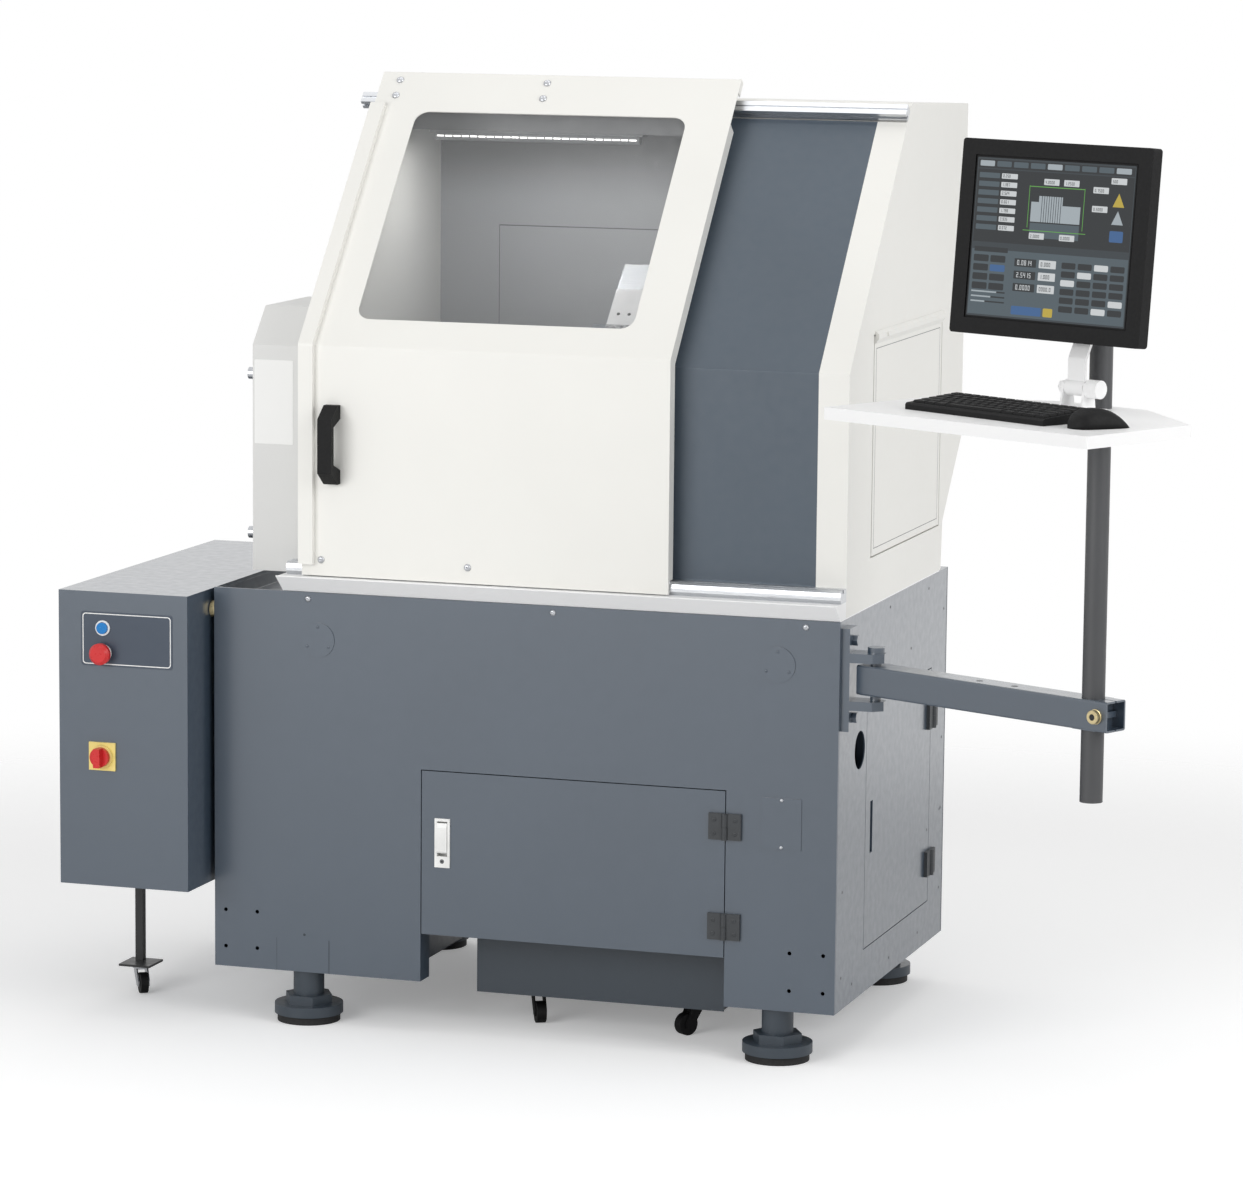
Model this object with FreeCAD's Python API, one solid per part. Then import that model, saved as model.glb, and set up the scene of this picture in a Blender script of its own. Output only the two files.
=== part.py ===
import FreeCAD, Part
import math
import os

# Slant-bed turning lathe: base cabinet on four levelling feet, hood with a sliding door,
# electrical cabinet on a caster, coolant tank on casters, and a swing-arm operator console.
# Millimetres. While the pieces are made, X runs right from the base cabinet's left side,
# Y runs back from its front panel and Z runs up from the floor. At the end every piece is
# moved so that the origin is at the bottom centre of the whole machine's box.

V = FreeCAD.Vector
X_AXIS = V(1, 0, 0)
Y_AXIS = V(0, 1, 0)
Z_AXIS = V(0, 0, 1)

# ---------------------------------------------------------------- base cabinet
BASE_W = 1145.0            # width of the base cabinet
BASE_D = 737.0             # depth of the base cabinet
BASE_BOTTOM = 93.0         # lower edge of its panels above the floor
BASE_TOP = 774.0           # its top edge
SHEET = 2.5                # base panel thickness
BEND_R = 1.0               # inside radius of folded sheet
FLANGE = 16.0              # folded flanges of the base panels
TRAY_DROP = 28.0           # depth of the open tray left of the hood
OPEN_X0 = 389.8            # front opening, left edge
OPEN_X1 = BASE_W - 197.6    # front opening, right edge
OPEN_TOP = 472.0           # front opening, top edge
OPEN_FLANGE = 45.0         # folded flange round the front opening
DOOR_GAP = 1.7             # gap round the base door
BASE_DOOR_BOTTOM = 178.9   # lower edge of the base door
BASE_DOOR_FLANGE = 18.0    # depth of the base door's folded edges
BULKHEAD_X = OPEN_X0 - 49.8          # inner wall of the left compartment
BULKHEAD_RIGHT_X = OPEN_X1 + 14.6    # inner wall of the right compartment
FOOT_X = (165.0, BASE_W - 111.0)
FOOT_Y = (37.0, BASE_D - 36.0)
FOOT_POST_R = 27.5
FOOT_PAD_R = 61.0
FOOT_PAD_H = 18.0
FOOT_NUT = 76.0            # across the flats
FOOT_NUT_H = 16.0
FOOT_RUBBER_R = 56.0
FOOT_RUBBER_T = 14.0
CORNER_HOLE_R = 3.5        # four-hole groups in the lower front corners
CORNER_HOLE_DX = 60.0
CORNER_HOLE_DZ = 66.0
CORNER_HOLE_IN = 51.0      # group centre from the panel's edge
CORNER_HOLE_Z = 162.5
CABLE_HOLE_Y = 140.0       # cable hole in the right panel
CABLE_HOLE_Z = 531.6
CABLE_HOLE_R = 33.5
SIDE_DOOR_Y0 = 184.0
SIDE_DOOR_Y1 = 630.0
SIDE_DOOR_Z0 = 170.0
SIDE_DOOR_Z1 = 603.0
SIDE_SLOT_Y = 224.0        # recessed finger slot of the side door
SIDE_SLOT_Z0 = 336.0
SIDE_SLOT_Z1 = 428.0
SIDE_SLOT_W = 16.0
DISC_R = 31.0              # blanking discs on the front panel
DISC_POS = ((196.5, 690.0), (BASE_W - 108.7, 694.7))
COVER_PLATE_X = BASE_W - 98.5        # small cover plate, centre
COVER_PLATE_Z = 420.0
COVER_PLATE_W = 71.0
COVER_PLATE_H = 89.0
COVER_T = 1.5
LOUVRE_X = (180.0, BASE_W - 345.0)   # left ends of the rear louvres
LOUVRE_W = 160.0
SLOT_H = 8.0               # height of the louvre slots
SLOT_STEP = 24.0
LOUVRE_Z0 = 560.0
LOUVRE_COUNT = 6
ROOF_SLOT_Z0 = 1380.0      # slots high in the hood's rear
ROOF_SLOT_COUNT = 5
CHUTE_X0 = 430.0           # chip and coolant chute through pan and deck
CHUTE_X1 = 900.0
CHUTE_Y0 = 110.0
CHUTE_Y1 = 205.0

# door hinges of the base
HINGE_LEAF_W = 29.0
HINGE_LEAF_H = 46.0
HINGE_LEAF_T = 6.0
HINGE_PIN_OUT = 5.5        # pin axis in front of the panel
HINGE_BARREL_R = 5.3
HINGE_PIN_R = 2.2
PIN_FIT = 0.08             # running clearance round hinge pins, radial
HINGE_GAP = 0.4
BASE_HINGE_Z = (409.0, 234.0)
SIDE_HINGE_Z = (516.0, 243.0)
LATCH_X = 430.5
LATCH_Z = 344.0
LATCH_W = 28.0
LATCH_H = 87.0
LATCH_PIN_R = 1.2

# ---------------------------------------------------------------- hood
HOOD_T = 2.0               # hood sheet thickness
HOOD_Y = 35.0              # front plane of the hood
HOOD_X0 = 165.0            # hood left wall, outer face
HOOD_BOTTOM = BASE_TOP + HOOD_T  # the hood stands on the pan's floor
BEND_Z = 1192.0            # where the front leans back
LEAN = 41.0                # lean from upright, degrees
ROOF_Z = 1633.0            # roof front edge
ROOF_BACK_Y = 823.0
ROOF_BACK_Z = 1617.0
REAR_KNEE_Z = 1007.0
REAR_KNEE_Y = 818.0
REAR_FOOT_Y = 689.0
REAR_FOOT_Z = 866.0
REAR_END_Y = 681.0
POST_W = 54.0              # front return of the right wall
LEFT_RETURN_W = 34.0       # front return of the left wall
PANEL_X0 = BASE_W - 330.0   # left edge of the fixed front panel
BACK_WALL_Y = 700.0        # splash back inside the hood
GROOVE_X0 = 283.0          # panel groove in the splash back
GROOVE_X1 = 880.0
GROOVE_Z0 = 1000.0
GROOVE_Z1 = 1376.0
GROOVE_W = 2.0
ROOF_UNDER = ROOF_Z - 15.0  # top of the splash back and the apron
APRON_Y = 480.0            # apron that hides the work light
APRON_H = 56.0
APRON_Z = ROOF_UNDER - APRON_H
LIGHT_X0 = 224.0           # light bar
LIGHT_X1 = 630.0
LIGHT_Y = APRON_Y + 17.0
LIGHT_Z = APRON_Z - 10.0
LIGHT_R = 9.0
LIGHT_STEM_IN = 36.0       # its stems from its ends
LIGHT_STEM_W = 20.0
ROOF_SLOT_X = (300.0, BASE_W - 295.0)
ROOF_SLOT_W = 120.0
PAN_X0 = 130.0             # chip pan and rails start here
LIP_OUT = 34.0             # front lip of the chip pan in front of the base
LIP_Z = 804.0              # its level top
ACCESS_Y0 = 187.0          # side access cover
ACCESS_Y1 = 664.0
ACCESS_Z0 = 857.0
ACCESS_Z1 = 1248.0
RAIL_Z0 = 800.0            # bottom rail
RAIL_Z1 = 827.0
RAIL_OUT = 36.0            # bottom rail depth in front of the hood
RAIL_X0 = 137.0
TOP_RAIL_S0 = 543.0        # top rail along the lean, from the bend
TOP_RAIL_S1 = 565.0
TOP_RAIL_T = 20.0

# ---------------------------------------------------------------- sliding door
SLIDE_X0 = 170.0
SLIDE_X1 = PANEL_X0 + 27.0  # the closed door laps the fixed panel
SLIDE_OUT = 45.0           # door face in front of the hood plane
SLIDE_BOTTOM = 806.0       # lower edge, clear of the pan's lip
SLIDE_TOP_S = 594.0        # top edge along the lean
DOOR_T = 2.0
SLIDE_RETURN = 26.0        # folded side edges
RETURN_END_S = 494.0
WINDOW_X0 = 255.0
WINDOW_X1 = 761.0
WINDOW_S0 = 44.0
WINDOW_S1 = 504.0
WINDOW_R = 25.0
WINDOW_LAP = 14.0          # glass laps behind the door sheet
WINDOW_T = 6.0
STRIP_X0 = 167.0           # stiffening strip on the closing edge
STRIP_X1 = 194.0
STRIP_PROUD = 11.0
STRIP_Z0 = 826.0
STRIP_END_S = 514.0
HANDLE_X0 = 216.0
HANDLE_X1 = 242.0
HANDLE_Z0 = 969.0
HANDLE_Z1 = 1107.0
HANDLE_OUT = 44.0
HANDLE_BAR = 12.0
CARRIAGE_X = (206.0, 485.0)
CARRIAGE_HALF_W = 24.0

# ---------------------------------------------------------------- belt drive cover
COVER_X0 = 59.5
COVER_BOTTOM = 803.0
COVER_BEND_Z = 1202.0
COVER_TOP_Y = 95.0
COVER_TOP_Z = 1266.0
COVER_BACK_Y = 300.0
COVER_SHEET = 2.0
KNOB_POS = ((50.0, 868.0), (50.0, 1150.0))    # (y, z) on the cover's left side
KNOB_R = 10.5
BAR_HOLE_R = 16.0          # bar stock hole in the cover, in line with the spindle

# ---------------------------------------------------------------- headstock and drive
SPINDLE_Y = 225.0
SPINDLE_Z = 1080.0
SLOPE = 45.0               # slope of the bed, degrees
SPINDLE_R = 32.0
SPINDLE_BORE_R = 16.0
SPINDLE_FIT = 0.08         # running clearance of the spindle in the headstock, radial
SPINDLE_X0 = 80.0
CHUCK_R = 80.0
CHUCK_X0 = 356.0
CHUCK_L = 72.0
JAW_COUNT = 3
PULLEY_X0 = 86.0
PULLEY_W = 36.0
SPINDLE_PULLEY_R = 45.0
MOTOR_PULLEY_R = 35.0
MOTOR_Y = 128.0
MOTOR_Z = 882.0
MOTOR_R = 72.0
MOTOR_X0 = 190.0
MOTOR_L = 200.0
MOTOR_SHAFT_R = 12.0
BELT_T = 5.0
BELT_CLEAR = 0.35
HEAD_X0 = 172.0
HEAD_X1 = 346.0
HEAD_HALF = 92.0           # headstock casting: half width, shoulder and chamfer
HEAD_SHOULDER = 78.0
HEAD_FLAT = 40.0
HEAD_FOOT_S = (-130.0, 150.0)
HEAD_FOOT_N = 34.0

# ---------------------------------------------------------------- bed and slides
BED_X0 = 176.0
BED_X1 = 1000.0
BED_N = -190.0             # bed plane below the spindle axis, square to the slope
BED_S0 = -190.0
BED_S1 = 322.0
BED_WALL = 24.0
WAY_S = (-140.0, 240.0)    # centres of the two ways on the slope
WAY_W = 30.0
WAY_H = 22.0
WAY_CLEAR = 0.4
SADDLE_X0 = 520.0
SADDLE_X1 = 760.0
SADDLE_N0 = -163.0
SADDLE_N1 = -130.0
SADDLE_S0 = -172.0
SADDLE_S1 = 318.0
CROSS_X0 = 570.0
CROSS_X1 = 720.0
CROSS_N1 = -74.0
CROSS_S0 = 90.0
CROSS_S1 = 417.0
SLIDE_CLEAR = 0.4
BLOCK_X0 = 588.0
BLOCK_X1 = 700.0
BLOCK_S0 = 112.0
BLOCK_S1 = 318.0
BLOCK_N1 = -28.0
SCREW_R = 8.0
Z_SCREW_S = 50.0
SCREW_N = -177.5
X_SCREW_X = 645.0

# ---------------------------------------------------------------- electrical cabinet
ELEC_X0 = -255.0
ELEC_X1 = -10.0
ELEC_Y0 = -98.0
ELEC_Y1 = 611.0
ELEC_Z0 = 243.0
ELEC_Z1 = 769.0
ELEC_T = 2.0
ELEC_PIN_X = -5.0
ELEC_PIN_Y = 618.0
KNUCKLE_R = 4.6
KNUCKLE_L = 20.0           # each barrel of the cabinet hinges
KNUCKLE_GAP = 0.4
START_X = -170.0
START_Z = 705.0
STOP_X = -169.0
STOP_Z = 660.6
BUTTON_BORE_R = 11.0
BUTTON_CLEAR = 0.5         # round the caps and stems in their collars
START_CAP_R = 10.0
STOP_CAP_R = 19.0
NECK_R = 9.0               # neck of the stop button
STEM_W = 8.0
START_PRESS = 3.0          # how far each button goes in
STOP_PRESS = 4.0
PRESS_SPARE = 0.5          # left between a pressed button and its contact block
COLLAR_OUT = 3.5
DISC_X = -172.0            # rotary disconnect
DISC_Z = 476.0
LEG_X = -212.0
LEG_Y = 155.0
LEG_W = 14.5
CASTER_PLATE_Z = 50.0
CASTER_X = -205.0
CASTER_Y = 140.0
CASTER_R = 19.0
CASTER_TRAIL = 20.0
AXLE_R = 3.0
CASTER_TOWARD = -55.0      # where the stored caster points, degrees from X

# ---------------------------------------------------------------- coolant tank
TANK_X0 = 461.0
TANK_X1 = 915.0
TANK_Y0 = 105.0
TANK_Y1 = 640.0
TANK_Z0 = 60.0
TANK_Z1 = 171.0
TANK_T = 2.0
TANK_CASTER_X = (551.0, 844.0)
TANK_CASTER_Y = (170.0, 580.0)
TANK_CASTER_R = 19.5

# ---------------------------------------------------------------- console
BRACKET_T = 15.0
BRACKET_Y0 = 9.0
BRACKET_Y1 = 55.0
BRACKET_Z0 = 585.0
BRACKET_Z1 = 762.0
PIN_X = BASE_W + 55.0       # pivot pin of the arm
PIN_Y = 34.0
PIN_R = 9.5
PIN_CLEAR = 0.1
LUG_REACH = 17.0           # lug beyond the pin axis
LUG_T = 16.0
LUG_Z = (622.0, 704.0)
ARM_ANGLE = -25.5
ARM_W = 50.8
ARM_WALL = 3.2
ARM_CORNER = 4.0
ARM_Z = 648.6
ARM_BACK = 22.0
ARM_L = 513.0
POLE_AT = ARM_L - 46.5      # pole axis along the arm
CLAMP_AT = POLE_AT + 25.3   # clamp bolt along the arm
POLE_R = 19.05
POLE_WALL = 2.5
POLE_CLEAR = 0.35
POLE_Z0 = 527.0
POLE_Z1 = 1280.0
SHELF_ANGLE = -27.5
SHELF_TOP = 1174.7
SHELF_T = 2.0
SHELF_LIP = 20.0
SHELF_OUTLINE = ((-298.0, -337.0), (257.0, -337.0), (257.0, -85.0),
                 (70.0, 34.0), (-111.0, 34.0), (-298.0, -85.0))
KEYS_U = -32.0
KEYS_V = -212.0
KEYS_W = 313.0
KEYS_D = 115.0
KEYS_TURN = -4.4
KEYS_EDGE = 8.0            # rim round the keys
KEY_ROWS = 6
MOUSE_U = 186.0
MOUSE_V = -226.0
MOUSE_L = 105.0
MOUSE_W = 60.0
MOUSE_H = 36.0
SCREEN_U = -62.0
SCREEN_V = -62.0
SCREEN_Z = 1443.4
SCREEN_W = 401.0
SCREEN_H = 318.0
SCREEN_T = 22.0
SCREEN_TILT = 5.0
GLASS_W = 338.6
GLASS_H = 262.0
PIVOT_U = -4.0
PIVOT_V = -52.0
PIVOT_Z = 1211.0
PIVOT_R = 6.0

# ================================================================ making shapes
def box(x0, x1, y0, y1, z0, z1):
    return Part.makeBox(x1 - x0, y1 - y0, z1 - z0, V(x0, y0, z0))


def rod(start, axis, radius, length):
    return Part.makeCylinder(radius, length, V(*start), axis)


def tube(start, axis, outer, inner, length):
    return rod(start, axis, outer, length).cut(rod(start, axis, inner, length))


def spun(profile, start, axis):
    """Turn a closed profile of (radius, along) points about an axis through start."""
    wire = Part.makePolygon([V(r, 0, h) for r, h in profile + profile[:1]])
    solid = Part.Face(wire).revolve(V(0, 0, 0), Z_AXIS, 360)
    solid.Placement = FreeCAD.Placement(V(*start), FreeCAD.Rotation(Z_AXIS, axis))
    return solid


def polyline(points, radii):
    """Edges through 2D points, each inner corner rounded by its own radius."""
    pts = [V(a, b, 0) for a, b in points]
    edges = []
    last = pts[0]
    for before, corner, after, radius in zip(pts, pts[1:], pts[2:], radii):
        d_in = (corner - before).normalize()
        d_out = (after - corner).normalize()
        turn = d_in.getAngle(d_out)
        if radius > 0 and turn > 1e-3:
            back = radius * math.tan(turn / 2)
            start = corner - d_in * back
            end = corner + d_out * back
            bisector = (d_out - d_in).normalize()
            centre = corner + bisector * (radius / math.cos(turn / 2))
            middle = centre - bisector * radius
            if (start - last).Length > 1e-6:
                edges.append(Part.LineSegment(last, start).toShape())
            edges.append(Part.Arc(start, middle, end).toShape())
            last = end
        else:
            edges.append(Part.LineSegment(last, corner).toShape())
            last = corner
    edges.append(Part.LineSegment(last, pts[-1]).toShape())
    return edges


def offset_points(points, distance):
    """The same 2D polyline moved to its left by distance, with mitred corners."""
    dirs = []
    for (a0, b0), (a1, b1) in zip(points, points[1:]):
        length = math.hypot(a1 - a0, b1 - b0)
        dirs.append(((a1 - a0) / length, (b1 - b0) / length))
    moved = [(points[0][0] - dirs[0][1] * distance, points[0][1] + dirs[0][0] * distance)]
    for (a, b), (c0, s0), (c1, s1) in zip(points[1:], dirs, dirs[1:]):
        share = distance / (1 + c0 * c1 + s0 * s1)
        moved.append((a - (s0 + s1) * share, b + (c0 + c1) * share))
    moved.append((points[-1][0] - dirs[-1][1] * distance, points[-1][1] + dirs[-1][0] * distance))
    return moved


def band_face(points, thickness, bend):
    """Section of a folded sheet: a 2D path, thickened to its left, inside bend radius bend."""
    side = offset_points(points, thickness)
    path_r = []
    side_r = []
    for (a0, b0), (a1, b1), (a2, b2) in zip(points, points[1:], points[2:]):
        left_turn = (a1 - a0) * (b2 - b1) - (b1 - b0) * (a2 - a1) > 0
        left_is_inside = left_turn == (thickness > 0)
        path_r.append(bend + abs(thickness) if left_is_inside else bend)
        side_r.append(bend if left_is_inside else bend + abs(thickness))
    edges = polyline(points, path_r)
    edges.append(Part.LineSegment(V(*points[-1], 0), V(*side[-1], 0)).toShape())
    edges += polyline(side[::-1], side_r[::-1])
    edges.append(Part.LineSegment(V(*side[0], 0), V(*points[0], 0)).toShape())
    return Part.Face(Part.Wire(Part.__sortEdges__(edges)))


def outline_face(points, radius=0.0):
    """Closed 2D outline with every corner rounded by radius."""
    middle = ((points[0][0] + points[-1][0]) / 2, (points[0][1] + points[-1][1]) / 2)
    loop = [middle] + list(points) + [middle]
    edges = polyline(loop, [radius] * len(points))
    return Part.Face(Part.Wire(Part.__sortEdges__(edges)))


def along_x(face, x0, x1):
    """Extrude a face drawn in (y, z) from x0 to x1."""
    turned = face.copy()
    turned.Placement = FreeCAD.Placement(V(x0, 0, 0), FreeCAD.Rotation(Y_AXIS, Z_AXIS, X_AXIS, "XYZ"))
    return turned.extrude(V(x1 - x0, 0, 0))


def along_y(face, y0, y1):
    """Extrude a face drawn in (x, z) from y0 to y1."""
    turned = face.copy()
    turned.Placement = FreeCAD.Placement(V(0, y0, 0), FreeCAD.Rotation(X_AXIS, 90))
    return turned.extrude(V(0, y1 - y0, 0))


def along_z(face, z0, z1):
    """Extrude a face drawn in (x, y) from z0 to z1."""
    return face.translated(V(0, 0, z0)).extrude(V(0, 0, z1 - z0))


def slab(points, radius=0.0):
    return outline_face(points, radius)


def rect(a0, a1, b0, b1, radius=0.0):
    return outline_face([(a0, b0), (a1, b0), (a1, b1), (a0, b1)], radius)


def joined(shapes):
    first = shapes[0]
    return first.fuse(shapes[1:]).removeSplitter() if len(shapes) > 1 else first


def group(shapes):
    """Separate solids kept together in one node."""
    solids = []
    for shape in shapes:
        solids += shape.Solids
    return Part.makeCompound(solids)


def hexagon(across, centre=(0.0, 0.0)):
    r = across / math.sqrt(3)
    cx, cy = centre
    return outline_face([(cx + r * math.cos(math.radians(60 * k)),
                          cy + r * math.sin(math.radians(60 * k))) for k in range(6)])


def placed(shape, position, rotation):
    """A copy of the shape, turned about the frame's origin and then moved."""
    moved = shape.copy()
    moved.Placement = FreeCAD.Placement(V(*position), rotation).multiply(moved.Placement)
    return moved


pieces = {}


def add(node, shape):
    pieces[node] = shape

# ================================================================ base cabinet
def corner_hole_cutters():
    cutters = []
    for cx in (CORNER_HOLE_IN, BASE_W - CORNER_HOLE_IN):
        for dx in (-CORNER_HOLE_DX / 2, CORNER_HOLE_DX / 2):
            for dz in (-CORNER_HOLE_DZ / 2, CORNER_HOLE_DZ / 2):
                cutters.append(rod((cx + dx, -1, CORNER_HOLE_Z + dz), Y_AXIS, CORNER_HOLE_R, SHEET + 2))
    return cutters


def base_front_panel():
    """Front sheet with a door opening that is open at the bottom and folded inwards."""
    outline = [(0, BASE_BOTTOM), (OPEN_X0, BASE_BOTTOM), (OPEN_X0, OPEN_TOP), (OPEN_X1, OPEN_TOP),
               (OPEN_X1, BASE_BOTTOM), (BASE_W, BASE_BOTTOM), (BASE_W, BASE_TOP), (0, BASE_TOP)]
    sheet = along_y(slab(outline), 0, SHEET)
    fold = [(OPEN_X0, BASE_BOTTOM), (OPEN_X0, OPEN_TOP), (OPEN_X1, OPEN_TOP), (OPEN_X1, BASE_BOTTOM)]
    lining = along_y(band_face(fold, SHEET, BEND_R), SHEET, OPEN_FLANGE)
    return joined([sheet, lining]).cut(corner_hole_cutters())


def side_panel_band(x_face, inward):
    """Side sheet with a flange behind the front panel and one behind the rear panel."""
    front = SHEET
    back = BASE_D - SHEET
    path = [(x_face + inward * FLANGE, front), (x_face, front), (x_face, back),
            (x_face + inward * FLANGE, back)]
    return along_z(band_face(path, -inward * SHEET, BEND_R), BASE_BOTTOM, BASE_TOP)


def base_left_panel():
    return side_panel_band(0, 1)


def base_right_panel():
    panel = side_panel_band(BASE_W, -1)
    doorway = box(BASE_W - 5, BASE_W + 1, SIDE_DOOR_Y0, SIDE_DOOR_Y1, SIDE_DOOR_Z0, SIDE_DOOR_Z1)
    cable = rod((BASE_W - 5, CABLE_HOLE_Y, CABLE_HOLE_Z), X_AXIS, CABLE_HOLE_R, 10)
    return panel.cut([doorway, cable])


def base_rear_panel():
    sheet = box(0, BASE_W, BASE_D - SHEET, BASE_D, BASE_BOTTOM, BASE_TOP)
    louvres = [box(x0, x0 + LOUVRE_W, BASE_D - 5, BASE_D + 1, LOUVRE_Z0 + k * SLOT_STEP,
                   LOUVRE_Z0 + k * SLOT_STEP + SLOT_H) for x0 in LOUVRE_X for k in range(LOUVRE_COUNT)]
    return sheet.cut(louvres)


def chute_box(z0, z1, grow=0.0):
    return box(CHUTE_X0 - grow, CHUTE_X1 + grow, CHUTE_Y0 - grow, CHUTE_Y1 + grow, z0, z1)


DECK_Y0 = 2 * SHEET + BEND_R
DECK_Y1 = BASE_D - 2 * SHEET - BEND_R


def base_top_deck():
    """Top sheet under the chip pan, with the chip chute opening and a folded left edge."""
    x1 = BASE_W - SHEET
    path = [(PAN_X0, BASE_TOP - TRAY_DROP), (PAN_X0, BASE_TOP), (x1, BASE_TOP)]
    deck = along_y(band_face(path, -SHEET, BEND_R), DECK_Y0, DECK_Y1)
    return deck.cut(chute_box(BASE_TOP - TRAY_DROP, BASE_TOP + 1))


def side_tray():
    """Open tray beside the hood: a sheet floor with its left edge turned up."""
    tray = BASE_TOP - TRAY_DROP
    path = [(2 * SHEET, BASE_TOP - 6), (2 * SHEET, tray), (PAN_X0, tray)]
    return along_y(band_face(path, -SHEET, BEND_R), DECK_Y0, DECK_Y1)


def base_bulkheads():
    """Folded floor and inner wall of the two compartments that stand on the feet."""
    low = BASE_BOTTOM
    high = BASE_TOP - TRAY_DROP - SHEET - 1
    left = [(SHEET, low), (BULKHEAD_X, low), (BULKHEAD_X, high)]
    right = [(BASE_W - SHEET, low), (BULKHEAD_RIGHT_X, low), (BULKHEAD_RIGHT_X, high)]
    y0 = OPEN_FLANGE + 1
    y1 = DECK_Y1
    front_strips = [box(FLANGE, BULKHEAD_X, 2 * SHEET, y0, low, low + SHEET),
                    box(BULKHEAD_RIGHT_X, BASE_W - FLANGE, 2 * SHEET, y0, low, low + SHEET)]
    left_wall = joined([along_y(band_face(left, SHEET, BEND_R), y0, y1), front_strips[0]])
    right_wall = joined([along_y(band_face(right, -SHEET, BEND_R), y0, y1), front_strips[1]])
    return group([left_wall, right_wall])


def foot(x, y):
    """Levelling foot: pad, lock nut and threaded post."""
    z0 = FOOT_RUBBER_T
    pad = rod((x, y, z0), Z_AXIS, FOOT_PAD_R, FOOT_PAD_H)
    nut = along_z(hexagon(FOOT_NUT, (x, y)), z0 + FOOT_PAD_H, z0 + FOOT_PAD_H + FOOT_NUT_H)
    post = rod((x, y, z0 + FOOT_PAD_H), Z_AXIS, FOOT_POST_R, BASE_BOTTOM - z0 - FOOT_PAD_H)
    return joined([pad, nut, post])


def foot_rubber(x, y):
    return rod((x, y, 0), Z_AXIS, FOOT_RUBBER_R, FOOT_RUBBER_T)


def blanking_covers():
    """Two round blanking discs and one square cover plate."""
    covers = []
    for x, z in DISC_POS:
        covers.append(rod((x, -COVER_T, z), Y_AXIS, DISC_R, COVER_T))
    w = COVER_PLATE_W / 2
    h = COVER_PLATE_H / 2
    plate = along_y(rect(COVER_PLATE_X - w, COVER_PLATE_X + w, COVER_PLATE_Z - h, COVER_PLATE_Z + h),
                    -COVER_T, 0)
    covers.append(plate)
    return group(covers)


def cover_knobs():
    """Two knurled thumb screws on the left side of the drive cover."""
    left = V(-1, 0, 0)
    return group([rod((COVER_X0, y, z), left, KNOB_R, 12) for y, z in KNOB_POS])


def hinge_half(pin_x, pin_y, z, leaf_dir, face_y, upper):
    """One leaf of a plastic hinge: leaf on the panel, barrel round the upright pin."""
    x0, x1 = sorted((pin_x + leaf_dir * 1.0, pin_x + leaf_dir * HINGE_LEAF_W))
    leaf = box(x0, x1, face_y - HINGE_LEAF_T, face_y, z - HINGE_LEAF_H / 2, z + HINGE_LEAF_H / 2)
    barrel_r = HINGE_BARREL_R
    half = HINGE_LEAF_H / 2
    z0, z1 = (z + HINGE_GAP / 2, z + half) if upper else (z - half, z - HINGE_GAP / 2)
    barrel = rod((pin_x, pin_y, z0), Z_AXIS, barrel_r, z1 - z0)
    reach = barrel_r + HINGE_GAP
    o0, o1 = (z - half - 1, z + HINGE_GAP / 2) if upper else (z - HINGE_GAP / 2, z + half + 1)
    room = box(pin_x - reach, pin_x + reach, pin_y - reach, face_y + 1, o0, o1)
    leaf = joined([leaf.cut(room), barrel])
    if upper:
        pin = rod((pin_x, pin_y, z - half), Z_AXIS, HINGE_PIN_R, HINGE_LEAF_H)
        return joined([leaf, pin])
    return leaf.cut(rod((pin_x, pin_y, z0 - 1), Z_AXIS, HINGE_PIN_R + PIN_FIT, z1 - z0 + 2))


HINGE_X = (OPEN_X1 + OPEN_X1 - DOOR_GAP) / 2


def base_hinge_parts():
    fixed = []
    moving = []
    for z in BASE_HINGE_Z:
        fixed.append(hinge_half(HINGE_X, -HINGE_PIN_OUT, z, 1, 0, True))
        moving.append(hinge_half(HINGE_X, -HINGE_PIN_OUT, z, -1, 0, False))
    return fixed, moving


def side_hinge_parts():
    """The side door's hinges: the same leaves, turned to lie on the right panel."""
    fixed = []
    moving = []
    seam = SIDE_DOOR_Y1 - DOOR_GAP / 2
    turn = FreeCAD.Rotation(Z_AXIS, 90)
    for z in SIDE_HINGE_Z:
        at = (BASE_W, seam, 0)
        fixed.append(placed(hinge_half(0, -HINGE_PIN_OUT, z, 1, 0, True), at, turn))
        moving.append(placed(hinge_half(0, -HINGE_PIN_OUT, z, -1, 0, False), at, turn))
    return fixed, moving


def base_door():
    """Door sheet flush with the front panel, edges folded back, hole for the latch body."""
    x0 = OPEN_X0 + DOOR_GAP
    x1 = OPEN_X1 - DOOR_GAP
    z0 = BASE_DOOR_BOTTOM
    z1 = OPEN_TOP - DOOR_GAP
    outer = box(x0, x1, 0, BASE_DOOR_FLANGE, z0, z1)
    inner = box(x0 + SHEET, x1 - SHEET, SHEET, BASE_DOOR_FLANGE + 1, z0 + SHEET, z1 - SHEET)
    latch = box(LATCH_X - LATCH_W / 2 + 3, LATCH_X + LATCH_W / 2 - 3, -1, SHEET + 1,
                LATCH_Z - LATCH_H / 2 + 4, LATCH_Z + LATCH_H / 2 - 4)
    return outer.cut([inner, latch])


PADDLE_PIN_Z = LATCH_Z + LATCH_H / 2 - 12
PADDLE_W = LATCH_W - 10.0
PADDLE_Z0 = LATCH_Z - LATCH_H / 2 + 26


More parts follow.
